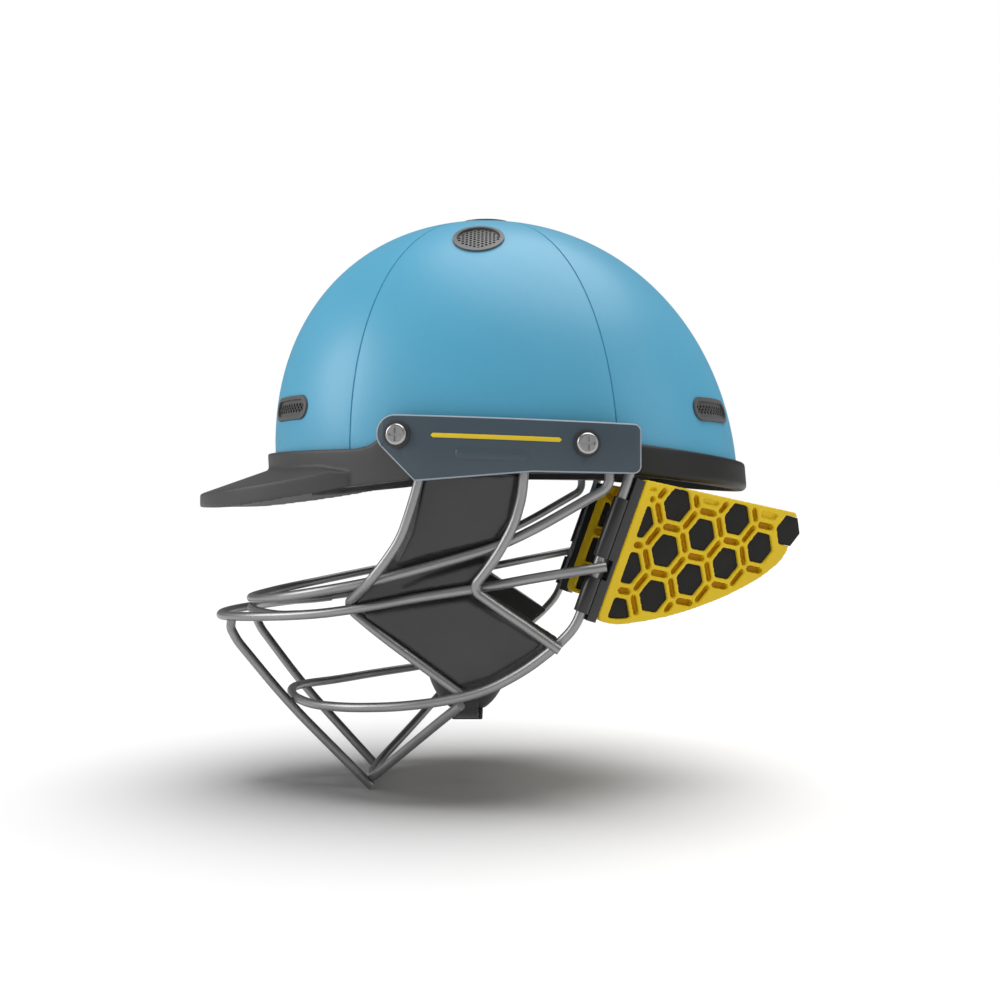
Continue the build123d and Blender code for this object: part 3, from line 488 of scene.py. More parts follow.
@dataclass(frozen=True)
class SoftNode:
    """A CAD node whose edges the scene rounds over."""

    node: str
    piece: str
    finish: Finish
    slot: str
    body: Body
    make: Callable[[str, bpy.types.Object], bpy.types.Object]

    def build(self, nodes: dict[str, bpy.types.Object]) -> None:
        """Make the rounded copy in the node's place."""
        piece = self.make(self.piece, nodes[self.node])
        dress(piece, self.finish)
        settle(piece, self.body, self.slot, self.node)


def dress(piece: bpy.types.Object, *finishes: Finish) -> None:
    """Give a piece its finishes, one for each slot."""
    piece.data.materials.clear()
    for finish in finishes:
        piece.data.materials.append(finish.material())


def dress_node(node: bpy.types.Object, finish: Finish) -> None:
    """Give a CAD node a finish in every slot."""
    if not node.material_slots:
        node.data.materials.append(finish.material())
    for slot in node.material_slots:
        slot.material = finish.material()


def settle(piece: bpy.types.Object, body: Body, slot: str, *nodes: str) -> bpy.types.Object:
    """Attach a piece to its body and hide the CAD nodes that it replaces.

    Args:
        piece: The finished piece.
        body: The body it rides on.
        slot: The record's material slot; not used.
        nodes: CAD nodes that it replaces.

    Returns:
        The piece.
    """
    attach(piece, body.value)
    if nodes:
        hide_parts(*nodes)
    log.info("%s rides on %s", piece.name, body.value)
    return piece


# Geometry Nodes


class Tree:
    """A Geometry Nodes tree that is built step by step, with named inputs."""

    def __init__(self, name: str) -> None:
        """Start an empty tree with a geometry input and output."""
        self.group = bpy.data.node_groups.new(name, "GeometryNodeTree")
        face = self.group.interface
        face.new_socket("Geometry", in_out="INPUT", socket_type="NodeSocketGeometry")
        face.new_socket("Geometry", in_out="OUTPUT", socket_type="NodeSocketGeometry")
        self.keys: dict[str, str] = {}
        self.entry = self.group.nodes.new("NodeGroupInput")
        self.exit = self.group.nodes.new("NodeGroupOutput")

    def size(self, name: str) -> None:
        """Add a named length or count input."""
        socket = self.group.interface.new_socket(name, in_out="INPUT", socket_type="NodeSocketFloat")
        self.keys[name] = socket.identifier

    def node(self, kind: str, **values: object) -> bpy.types.Node:
        """Add a node and set its properties.

        Args:
            kind: The node's type name.
            values: Its properties.

        Returns:
            The node.
        """
        made = self.group.nodes.new(kind)
        for key, value in values.items():
            setattr(made, key, value)
        return made

    def link(self, source: bpy.types.NodeSocket, target: bpy.types.NodeSocket) -> None:
        """Join two sockets."""
        self.group.links.new(source, target)

    def choose(self, node: bpy.types.Node, mode: str) -> None:
        """Set a node's mode, which is a socket in some versions and a property in others."""
        pick = node.inputs.get("Mode")
        if pick is not None:
            pick.default_value = mode
        else:
            node.mode = mode.upper()

    def fillet(
        self, curve: bpy.types.NodeSocket, radius: bpy.types.NodeSocket, count: int
    ) -> bpy.types.Node:
        """Round a curve's corners.

        Args:
            curve: The curve.
            radius: The rounding's radius.
            count: How many points each rounding gets.

        Returns:
            The fillet's node.
        """
        corner = self.node("GeometryNodeFilletCurve")
        self.choose(corner, "Poly")
        corner.inputs["Count"].default_value = count
        self.link(curve, corner.inputs["Curve"])
        self.link(radius, corner.inputs["Radius"])
        return corner

    def finish(self, source: bpy.types.NodeSocket, finish: Finish) -> None:
        """End the tree in Realize Instances and Set Material.

        Args:
            source: The geometry to end with.
            finish: The finish to set.
        """
        real = self.node("GeometryNodeRealizeInstances")
        paint = self.node("GeometryNodeSetMaterial")
        paint.inputs["Material"].default_value = finish.material()
        self.link(source, real.inputs["Geometry"])
        self.link(real.outputs["Geometry"], paint.inputs["Geometry"])
        self.link(paint.outputs["Geometry"], self.exit.inputs["Geometry"])

    def run(self, piece: bpy.types.Object, **sizes: float) -> None:
        """Put the tree on a piece, set its inputs and make the result a plain mesh.

        Args:
            piece: The piece that carries the points or the path.
            sizes: Values for the named inputs.
        """
        modifier = piece.modifiers.new("nodes", "NODES")
        modifier.node_group = self.group
        for name, value in sizes.items():
            modifier[self.keys[name]] = value
        bake_modifiers(piece)


def instancing_tree(name: str, finish: Finish, shape: Callable[[Tree], bpy.types.NodeSocket]) -> Tree:
    """A tree that puts one shape on every point, by the point's "turn" and "scale".

    Args:
        name: The tree's name.
        finish: The finish of the shapes.
        shape: Builds the shape and returns its geometry socket.

    Returns:
        The tree.
    """
    tree = Tree(name)
    spread = tree.node("GeometryNodeInstanceOnPoints")
    tree.link(tree.entry.outputs["Geometry"], spread.inputs["Points"])
    for attribute, socket in (("turn", "Rotation"), ("scale", "Scale")):
        source = tree.node("GeometryNodeInputNamedAttribute", data_type="FLOAT_VECTOR")
        source.inputs["Name"].default_value = attribute
        tree.link(source.outputs["Attribute"], spread.inputs[socket])
    tree.link(shape(tree), spread.inputs["Instance"])
    tree.finish(spread.outputs["Instances"], finish)
    return tree


def point_cloud(
    name: str, places: Sequence[Vector], turns: Sequence[Matrix], reaches: Sequence[float]
) -> bpy.types.Object:
    """Loose vertices with "turn" and "scale" attributes for an instancing tree.

    Args:
        name: The piece's name.
        places: Where the shapes go.
        turns: Their rotation matrices.
        reaches: Their scale along their own X.

    Returns:
        The piece.
    """
    data = bpy.data.meshes.new(name)
    data.from_pydata([tuple(p) for p in places], [], [])
    angles = [tuple(t.to_euler()) for t in turns]
    scales = [(reach, 1, 1) for reach in reaches]
    for key, rows in (("turn", angles), ("scale", scales)):
        attribute = data.attributes.new(key, "FLOAT_VECTOR", "POINT")
        attribute.data.foreach_set("vector", np.array(rows, np.float32).ravel())
    return new_piece(name, data)


# Shell


@dataclass(frozen=True)
class Dome:
    """The helmet's dome: a revolved profile, stretched and leaning forward."""

    half_width: float = 103 * MM
    half_length: float = 132 * MM
    height: float = 142.5 * MM
    lean: float = 0.084
    fullness: float = 0.584
    profile_steps: int = 801
    probe: float = 0.2 * MM

    def radius(self, rise: np.ndarray | float) -> np.ndarray | float:
        """The profile's radius share at a height share."""
        t = np.linspace(0, 1, self.profile_steps)
        across = (1 - t) ** 3 + 3 * t * (1 - t) ** 2 + 3 * t ** 2 * (1 - t) * self.fullness
        up = 3 * t * (1 - t) ** 2 * self.fullness + 3 * t ** 2 * (1 - t) + t ** 3
        return np.interp(rise, up, across)

    def rise(self, t: float) -> float:
        """The profile's height share at a place along it."""
        return 3 * t * (1 - t) ** 2 * self.fullness + 3 * t ** 2 * (1 - t) + t ** 3

    def spoke(self, hub: tuple[float, float], turn: float, z: float, grow: float) -> Vector:
        """Where a level line from a hub meets the dome.

        Args:
            hub: X and Y of the line's start.
            turn: Its direction from +X in radians.
            z: Its height.
            grow: How far the dome's face is moved out.

        Returns:
            The point.
        """
        share = float(self.radius(min(z / (self.height + grow), 1.0)))
        a = (self.half_width + grow) * share
        b = (self.half_length + grow) * share
        dx, dy = math.cos(turn), math.sin(turn)
        ox, oy = hub[0], hub[1] + self.lean * z
        qa = (dx / a) ** 2 + (dy / b) ** 2
        qb = 2 * (ox * dx / a ** 2 + oy * dy / b ** 2)
        qc = (ox / a) ** 2 + (oy / b) ** 2 - 1
        s = (-qb + math.sqrt(max(qb * qb - 4 * qa * qc, 0.0))) / (2 * qa)
        return Vector((hub[0] + s * dx, hub[1] + s * dy, z))

    def level(self, point: Vector, grow: float) -> float:
        """How far outside the dome a point is, below 0 inside."""
        tall = self.height + grow
        ahead = (point.y + self.lean * point.z) / (self.half_length + grow)
        across = math.hypot(point.x / (self.half_width + grow), ahead)
        return across - float(self.radius(min(max(point.z / tall, 0.0), 1.0))) + max(point.z / tall - 1, 0)

    def normal(self, point: Vector, grow: float) -> Vector:
        """The outward direction near the dome's face."""
        way = [
            self.level(point + axis * self.probe, grow) - self.level(point - axis * self.probe, grow)
            for axis in (Vector((1, 0, 0)), Vector((0, 1, 0)), Vector((0, 0, 1)))
        ]
        return Vector(way).normalized()

    def hit(self, way: Vector, grow: float) -> Vector:
        """Where a line from the origin leaves the dome."""
        near, far = 0.0, 2 * self.half_length
        for _ in range(50):
            middle = (near + far) / 2
            if self.level(way * middle, grow) < 0:
                near = middle
            else:
                far = middle
        return way * near

    def on_ring(self, around: float, z: float, grow: float) -> Vector:
        """A point by its angle from the front, round to the left, and its height."""
        share = float(self.radius(min(max(z / (self.height + grow), 0.0), 1.0)))
        x = (self.half_width + grow) * share * math.sin(around)
        y = -(self.half_length + grow) * share * math.cos(around) - self.lean * z
        return Vector((x, y, z))

    def over(self, x: float, y: float, grow: float) -> Vector:
        """The point of the dome straight above X and Y."""
        low, high = 0.0, self.height + grow
        for _ in range(40):
            z = (low + high) / 2
            if self.level(Vector((x, y, z)), grow) < 0:
                low = z
            else:
                high = z
        return Vector((x, y, low))


DOME = Dome()


@dataclass(frozen=True)
class VentPlace:
    """Where a vent sits and its outline."""

    azimuth: float
    elevation: float
    length: float
    width: float
    upright: Row


@dataclass
class Shell:
    """The moulded shell with its seams and vent holes."""

    wall: float = 3 * MM
    edge_drop: float = 3.2 * MM
    edge_round: float = 0.7 * MM
    hub_forward: float = 12.05 * MM
    columns: int = 264
    rows: int = 84
    seam_turns: tuple[float, ...] = (-40.0, 36.0, 144.0, 220.0)
    seam_profile: tuple[tuple[float, float], ...] = (
        (-1.1, 0.0), (-0.5, -0.05), (-0.28, -0.55), (0.28, -0.55), (0.5, -0.05), (1.1, 0.0),
    )
    seam_clear: float = 2.6
    seam_fade: float = 28 * MM
    hole_sides: int = 48
    hole_clear: float = 0.15 * MM
    hole_ends: tuple[float, float] = (-12 * MM, 8 * MM)
    vents: tuple[VentPlace, ...] = field(default_factory=lambda: (
        VentPlace(0, 85.19, 27.5 * MM, 27.5 * MM, (0, 1, 0)),
        VentPlace(74.5, 65.0, 27.5 * MM, 27.5 * MM, (0, 1, 0)),
        VentPlace(21.4, 14.3, 37.5 * MM, 12.9 * MM, (0, 0, 1)),
        VentPlace(156, 14.4, 37.5 * MM, 12.9 * MM, (0, 0, 1)),
    ))

    def _spokes(self) -> list[tuple[float, float, float]]:
        """Directions of the mesh's columns, each with a side step and a depth in millimetres."""

        def clear(turn: float) -> bool:
            """Whether a direction in degrees keeps off every seam."""
            return all(abs((turn - s + 180) % 360 - 180) > self.seam_clear for s in self.seam_turns)

        plain = [360 * i / self.columns for i in range(self.columns)]
        kept = [(turn, 0.0, 0.0) for turn in plain if clear(turn)]
        for turn in self.seam_turns:
            kept += [(turn % 360 + 1e-4 * k, side, deep) for k, (side, deep) in enumerate(self.seam_profile)]
        return sorted(kept)

    def _ring(self, z: float, grow: float, seams: bool) -> list[Vector]:
        """One closed row of points.

        Args:
            z: The row's height.
            grow: How far out the row lies.
            seams: Whether the seam grooves are cut into it.

        Returns:
            The points.
        """
        points = []
        for turn, side, deep in self._spokes():
            angle = math.radians(turn)
            near = DOME.spoke((0, -self.hub_forward), angle, z, grow)
            reach = math.hypot(near.x, near.y + self.hub_forward)
            step = side * MM * min(1.0, reach / self.seam_fade)
            hub = (-math.sin(angle) * step, -self.hub_forward + math.cos(angle) * step)
            spot = DOME.spoke(hub, angle, z, grow)
            if seams and deep:
                spot += DOME.normal(spot, grow) * deep * MM
            points.append(spot)
        return points

    def _rows(self) -> list[tuple[float, float, bool]]:
        """Heights, growths and seam flags from the outer crown down and up inside."""
        share = [DOME.rise(1 - i / self.rows) for i in range(1, self.rows + 1)]
        outer = [(DOME.height * s, 0.0, True) for s in share]
        outer.append((-self.edge_drop + self.edge_round, 0.0, True))
        outer.append((-self.edge_drop, -self.edge_round, False))
        low = [
            (-self.edge_drop, -self.wall + self.edge_round, False),
            (-self.edge_drop + self.edge_round, -self.wall, False),
        ]
        inner = [((DOME.height - self.wall) * s, -self.wall, False) for s in reversed(share)]
        return outer + low + inner

    def _mesh(self) -> bpy.types.Mesh:
        """The shell's closed mesh before the vent holes."""
        points = [Vector((0, -self.hub_forward, DOME.height))]
        rings = [self._ring(*row) for row in self._rows()]
        count = len(rings[0])
        for ring in rings:
            points += ring
        points.append(Vector((0, -self.hub_forward, DOME.height - self.wall)))
        faces = [(0, 1 + (j + 1) % count, 1 + j) for j in range(count)]
        for i in range(len(rings) - 1):
            a, b = 1 + i * count, 1 + (i + 1) * count
            faces += [(a + j, a + (j + 1) % count, b + (j + 1) % count, b + j) for j in range(count)]
        a, last = 1 + (len(rings) - 1) * count, len(points) - 1
        faces += [(last, a + j, a + (j + 1) % count) for j in range(count)]
        return mesh_from("shell_skin", points, faces)

    def _cutter(self, place: VentPlace, sign: int) -> bpy.types.Mesh:
        """A vent hole's prism through the wall.

        Args:
            place: The vent's place.
            sign: 1 on the left, -1 on the right.

        Returns:
            The prism's mesh.
        """
        azimuth, elevation = math.radians(place.azimuth), math.radians(place.elevation)
        level = math.cos(elevation)
        way = Vector((level * math.sin(azimuth), -level * math.cos(azimuth), math.sin(elevation)))
        spot = DOME.hit(way, 0)
        out = DOME.normal(spot, 0)
        side = Vector(place.upright).cross(out).normalized()
        up = out.cross(side)
        half, radius = place.length / 2 - place.width / 2, place.width / 2 + self.hole_clear
        outline = []
        for k in range(self.hole_sides):
            angle = 2 * math.pi * (k + 0.5) / self.hole_sides
            shift = math.copysign(half, math.cos(angle))
            outline.append(side * (radius * math.cos(angle) + shift) + up * radius * math.sin(angle))
        points = [spot + p + out * h for h in self.hole_ends for p in outline]
        points = [Vector((sign * p.x, p.y, p.z)) for p in points]
        n = len(outline)
        faces = [tuple(range(n)), tuple(range(n, 2 * n))]
        faces += [(k, (k + 1) % n, n + (k + 1) % n, n + k) for k in range(n)]
        return mesh_from("vent_hole", points, faces)

    def build(self) -> None:
        """Make the shell, cut the vent holes and dress it."""
        piece = new_piece("shell_skin", self._mesh())
        cutters = []
        for index, place in enumerate(self.vents):
            for sign in (1,) if index == 0 else (1, -1):
                cutters.append(new_piece("vent_hole", self._cutter(place, sign)))
        for cutter in cutters:
            cut = piece.modifiers.new("hole", "BOOLEAN")
            cut.operation = "DIFFERENCE"
            cut.solver = "EXACT"
            cut.object = cutter
        bake_modifiers(piece)
        for cutter in cutters:
            bpy.data.objects.remove(cutter)
        dress(piece, SHELL_PAINT)
        smooth(piece, 32)
        settle(piece, Body.HELMET, "shell", "outer_shell")


# Comfort pads


@dataclass
class ComfortPads:
    """The quilted pads that lie on the liner."""

    grow: float = -18.6 * MM
    wall: float = 7 * MM
    rim: float = 0.22
    round_share: float = 0.35
    channel_width: float = 0.035
    channel_depth: float = 0.62
    across: int = 72
    up: int = 28
    brow_drop: float = 12.4 * MM
    brow_forward: float = 81 * MM
    brow_slope: float = 0.073
    brow_reach: float = 61.0
    brow_top: float = 27.6 * MM
    rear_reach: float = 54.0
    rear_span: tuple[float, float] = (-2.6 * MM, 29.6 * MM)
    temple_middle: float = 88.0
    temple_reach: float = 20.0
    temple_span: tuple[float, float] = (24.4 * MM, 61.6 * MM)
    crown_reach: float = 27.5 * MM
    crown_forward: float = 12 * MM
    back_gap: float = 0.05 * MM
    wall_share: float = 0.97
    fill: float = 0.85

    def _pillow(self, u: float, v: float, channels: int) -> float:
        """The pad's thickness share at a place from -1 to 1 each way.

        Args:
            u: Place along the pad.
            v: Place up the pad.
            channels: How many cushions the pad is sewn into.

        Returns:
            A share from 0 to 1.
        """
        edge = min(1.0, (1 - abs(u)) * 5) * min(1.0, (1 - abs(v)) * 2.2)
        thick = (1 - (1 - min(edge, 1.0)) ** 2) ** 0.5 * (0.86 + 0.14 * math.cos(v * math.pi / 2))
        for k in range(1, channels):
            line = -1 + 2 * k / channels
            thick *= 1 - self.channel_depth * math.exp(-((u - line) / self.channel_width) ** 2)
        return thick

    def _patch(self, name: str, spot: Callable[[float, float], Vector], channels: int) -> bpy.types.Object:
        """A closed pillow whose back follows the liner.

        Args:
            name: The pad's name.
            spot: Gives the back's point for u and v from -1 to 1.
            channels: How many cushions it is sewn into.

        Returns:
            The piece.
        """
        back, front = [], []
        for j in range(self.up + 1):
            for i in range(self.across + 1):
                u, v = 2 * i / self.across - 1, 2 * j / self.up - 1
                a = u * math.sqrt(1 - self.round_share * v * v / 2)
                b = v * math.sqrt(1 - self.round_share * u * u / 2)
                point = spot(a, b)
                inward = DOME.normal(point, self.grow) * -1
                back.append(point)
                thick = self.wall * self.wall_share * self._pillow(u, v, channels)
                front.append(point + inward * (self.back_gap + thick))
        row, n = self.across + 1, len(back)
        faces = []
        for j in range(self.up):
            for i in range(self.across):
                a = j * row + i
                faces.append((a, a + 1, a + row + 1, a + row))
                faces.append((n + a, n + a + row, n + a + row + 1, n + a + 1))
        rim = list(range(row)) + [j * row + row - 1 for j in range(1, self.up + 1)]
        rim += [self.up * row + i for i in range(row - 2, -1, -1)]
        rim += [j * row for j in range(self.up - 1, 0, -1)]
        faces += [(a, b, n + b, n + a) for a, b in zip(rim, rim[1:] + rim[:1])]
        piece = new_piece(name, mesh_from(name, back + front, faces))
        smooth(piece, 60)
        return piece

    def _brow_spot(self, u: float, v: float) -> Vector:
        """A point of the brow pad's back, whose lower edge rises to the rear."""
        around = math.radians(self.brow_reach) * u
        ahead = (DOME.half_length + self.grow) * math.cos(around)
        low = -self.brow_drop - self.brow_slope * (ahead - self.brow_forward)
        return DOME.on_ring(around, low + (self.brow_top - low) * (v + 1) / 2, self.grow)

    def _ring_spot(
        self, middle: float, half: float, low: float, high: float
    ) -> Callable[[float, float], Vector]:
        """A map from u and v to a band round the liner."""
        return lambda u, v: DOME.on_ring(middle + half * u, low + (high - low) * (v + 1) / 2, self.grow)

    def build(self) -> None:
        """Make all comfort pads."""
        rad = math.radians
        reach = self.crown_reach
        rows = [
            ("brow_cushion", self._brow_spot, 7, "brow_pad"),
            ("rear_cushion", self._ring_spot(math.pi, rad(self.rear_reach), *self.rear_span), 5, "rear_pad"),
        ]
        for side in Side:
            middle = rad(self.temple_middle * side.value)
            spot = self._ring_spot(middle, rad(self.temple_reach), *self.temple_span)
            rows.append((f"{side.word}_temple_cushion", spot, 2, f"{side.word}_side_pad"))
        rows.append((
            "crown_cushion",
            lambda u, v: DOME.over(u * reach, v * reach - self.crown_forward, self.grow), 3, "crown_pad",
        ))
        for name, spot, channels, node in rows:
            self._finish(self._patch(name, spot, channels), node)

    def _finish(self, piece: bpy.types.Object, node: str) -> None:
        """Dress one comfort pad, attach it to the helmet and hide its CAD node."""
        dress(piece, COMFORT_CLOTH)
        settle(piece, Body.HELMET, "comfort_cloth", node)


# Cheek pads


@dataclass
class CheekPads:
    """Moulded cheek pads with three soft cushions on each."""

    voxel: float = 1.1 * MM
    rounds: int = 5
    inner_turn: float = -0.35
    slope_foot: Row = (84.9 * MM, -61.4 * MM, -53.4 * MM)
    slope_way: Row = (0.834, -0.550, -0.031)
    slope_low: float = -54 * MM

    def build(self, nodes: dict[str, bpy.types.Object]) -> None:
        """Make both pads from the solids that hold their space.

        Args:
            nodes: The CAD nodes by name.
        """
        for side in Side:
            source = f"{side.word}_cheek_pad"
            piece = moulded(f"{side.word}_cheek_cushions", nodes[source], self.voxel, self.rounds)
            self._slope_front(piece, side)
            dress(piece, CHEEK_SKIN, CHEEK_INNER)
            for face in piece.data.polygons:
                face.material_index = 1 if face.normal.x * side.value < self.inner_turn else 0
            settle(piece, Body.HELMET, "cheek_pad_foam", source)

    def _slope_front(self, piece: bpy.types.Object, side: Side) -> None:
        """Bring the upper cushion's front down to a broad slope.

        Args:
            piece: The pad.
            side: Which pad.
        """
        foot = Vector(self.slope_foot)
        way = Vector(self.slope_way).normalized()
        foot.x *= side.value
        way.x *= side.value
        for vertex in piece.data.vertices:
            above = (vertex.co - foot).dot(way)
            if above > 0 and vertex.co.z > self.slope_low:
                vertex.co -= way * above


# Neck guards


@dataclass
class GuardFoam:
    """The foam cells and the slot floors of the neck guards, whose darker amber is painted shade in the
    slots.
    """

    toe: float = 30.5
    outer: float = 3.5 * MM
    wall: float = 12 * MM
    length: float = 117 * MM
    height: float = 88 * MM
    pitch: float = 24.2 * MM
    turn: float = 6.0
    home: tuple[float, float] = (55.3 * MM, 19.9 * MM)
    slot_length: float = 11.5 * MM
    slot_width: float = 3.2 * MM
    slot_sink: float = 0.9 * MM
    slot_floor: float = 1.9 * MM
    slot_margin: float = 3.6 * MM
    front_edge: float = 16.4 * MM
    plain_web: tuple[int, int, int] = (2, -1, 4)
    tip: tuple[float, float] = (3, -1)
    tip_back: float = 3.6 * MM
    voxel: float = 0.75 * MM
    rounds: int = 4
    foam_round: float = 0.9 * MM
    slot_gap: float = 0.2 * MM
    slot_tries: int = 41
    upright_low: Row = (99, 0.206 * 165, -0.451 * 178)
    upright_high: Row = (99.3, 0.369 * 165, -0.026 * 178)
    upright_share: float = 0.556
    cells: tuple[tuple[int, int], ...] = (
        (0, 0), (-1, 0), (-1, 1), (-1, -1), (0, -1), (1, 0), (1, -1), (2, -1), (-2, 1), (-2, 0), (-2, -1),
    )
    outline: tuple[tuple[float, float], ...] = (
        (0.0735, 0.41), (0.0735, -0.440), (0.18, -0.434), (0.33, -0.363), (0.50, -0.260), (0.72, -0.085),
        (0.90, 0.11), (0.985, 0.25), (1, 0.35), (1, 0.52), (0.97, 0.562),
    )

    def plane(self, side: Side) -> Matrix:
        """The guard's plane: back along it, up the upright, and out.

        Args:
            side: Which guard.

        Returns:
            A matrix from the guard's plane to the helmet.
        """
        low, high = Vector(self.upright_low) * MM, Vector(self.upright_high) * MM
        up = (high - low).normalized()
        angle = math.radians(self.toe)
        level = Vector((-math.sin(angle), math.cos(angle), 0))
        back = (level - up * level.dot(up)).normalized()
        out = back.cross(up)
        home = low + (high - low) * self.upright_share
        rows = Matrix((back, up, out)).transposed().to_4x4()
        placed = Matrix.Translation(home) @ rows
        mirrored = Matrix.Diagonal((side.value, 1, 1, 1))
        return mirrored @ placed

    def _inside(self, x: float, y: float) -> bool:
        """Whether a place lies well inside the guard's outline."""
        points = [(u * self.length, v * self.height) for u, v in self.outline]
        inside = False
        for (ax, ay), (bx, by) in zip(points, points[1:] + points[:1]):
            if (ay > y) != (by > y) and x < (bx - ax) * (y - ay) / (by - ay) + ax:
                inside = not inside
            run = Vector((bx - ax, by - ay))
            share = max(0.0, min(1.0, Vector((x - ax, y - ay)).dot(run) / run.length_squared))
            if math.hypot(x - ax - share * run.x, y - ay - share * run.y) < self.slot_margin:
                return False
        return inside and x > self.front_edge

    def _cell(self, i: float, j: float) -> tuple[float, float]:
        """The middle of a honeycomb cell in the guard's plane."""
        up_turn, side_turn = math.radians(90 + self.turn), math.radians(30 + self.turn)
        u = self.home[0] + self.pitch * (i * math.cos(side_turn) + j * math.cos(up_turn))
        v = self.home[1] + self.pitch * (i * math.sin(side_turn) + j * math.sin(up_turn))
        return u, v

    def _slots(self) -> list[tuple[float, float, float, float]]:
        """Middles, turns and length shares of the slots between the cells."""
        found: dict[tuple[int, int], tuple[float, float, float, float]] = {}
        tip_u, tip_v = self._cell(*self.tip)
        for cell in self.cells:
            u, v = self._cell(*cell)
            for k in range(6):
                way = math.radians(90 + self.turn + 60 * k)
                x, y = u + self.pitch / 2 * math.cos(way), v + self.pitch / 2 * math.sin(way)
                from_tip = math.hypot(x - tip_u + self.tip_back, y - tip_v)
                if (*cell, k) == self.plain_web or from_tip < self.pitch / 2:
                    continue
                half = (self.slot_length - self.slot_width) / 2
                run = (half * math.sin(way), -half * math.cos(way))
                tries = np.linspace(-1, 1, self.slot_tries)
                steps = [s for s in tries if self._inside(x + s * run[0], y + s * run[1])]
                if steps:
                    middle, share = (steps[0] + steps[-1]) / 2, (steps[-1] - steps[0]) / 2
                    x, y = x + middle * run[0], y + middle * run[1]
                    length = (2 * half * share + self.slot_width) / self.slot_length
                    found[(round(x / MM), round(y / MM))] = (x, y, way + math.pi / 2, length)
        return list(found.values())

    def _slot_tree(self) -> Tree:
        """The tree that lays a stadium floor in every slot, in a darker amber that is painted shade."""

        def stadium(tree: Tree) -> bpy.types.NodeSocket:
            tree.size("Length")
            tree.size("Width")
            tree.size("Depth")
            bar = tree.node("GeometryNodeCurvePrimitiveQuadrilateral")
            tree.link(tree.entry.outputs["Length"], bar.inputs["Width"])
            tree.link(tree.entry.outputs["Width"], bar.inputs["Height"])
            half = tree.node("ShaderNodeMath", operation="MULTIPLY")
            half.inputs[1].default_value = 0.499
            tree.link(tree.entry.outputs["Width"], half.inputs[0])
            ends = tree.fillet(bar.outputs["Curve"], half.outputs[0], 6)
            fill = tree.node("GeometryNodeFillCurve")
            tree.link(ends.outputs["Curve"], fill.inputs["Curve"])
            thick = tree.node("GeometryNodeExtrudeMesh")
            tree.link(fill.outputs["Mesh"], thick.inputs["Mesh"])
            tree.link(tree.entry.outputs["Depth"], thick.inputs["Offset Scale"])
            thick.inputs["Individual"].default_value = False
            return thick.outputs["Mesh"]

        return instancing_tree("slot_floors", SLOT_SHADE_AMBER, stadium)

    def build(self, nodes: dict[str, bpy.types.Object]) -> None:
        """Make the foam, the slot floors and the rounded frames of both guards.

        Args:
            nodes: The CAD nodes by name.
        """
        tree = self._slot_tree()
        for side in Side:
            foam_node = f"{side.word}_guard_foam"
            foam = softened(f"{side.word}_foam_cells", nodes[foam_node], self.foam_round)
            dress(foam, GUARD_FOAM)
            settle(foam, side.guard_body, "guard_foam", foam_node)
            frame_node = f"{side.word}_guard_frame"
            frame = moulded(f"{side.word}_honeycomb", nodes[frame_node], self.voxel, self.rounds)
            dress(frame, GUARD_YELLOW)
            settle(frame, side.guard_body, "guard_plastic", frame_node)
            plane = self.plane(side)
            places, turns, reaches = [], [], []
            outer_floor = self.outer - self.slot_sink
            inner_floor = self.outer - self.wall + self.slot_sink
            for face, height in ((1, outer_floor), (-1, inner_floor)):
                for x, y, turn, share in self._slots():
                    reaches.append(share)
                    spin = Matrix.Rotation(turn, 4, "Z")
                    flip = Matrix.Rotation(math.pi, 4, "X") if face * side.value > 0 else Matrix.Identity(4)
                    places.append(plane @ Vector((x, y, height)))
                    turned = (plane.to_3x3().to_4x4() @ spin).to_3x3()
                    if turned.determinant() < 0:
                        turned = turned @ Matrix.Diagonal((-1, 1, 1))
                    turns.append(turned @ flip.to_3x3())
            # The slot floors carry the darker amber, painted shade in the slots.
            floors = point_cloud(f"{side.word}_slot_floors", places, turns, reaches)
            tree.run(
                floors, Length=self.slot_length - self.slot_gap, Width=self.slot_width - self.slot_gap,
                Depth=self.slot_floor,
            )
            smooth(floors, 40)
            settle(floors, side.guard_body, "guard_plastic")


# Side plates


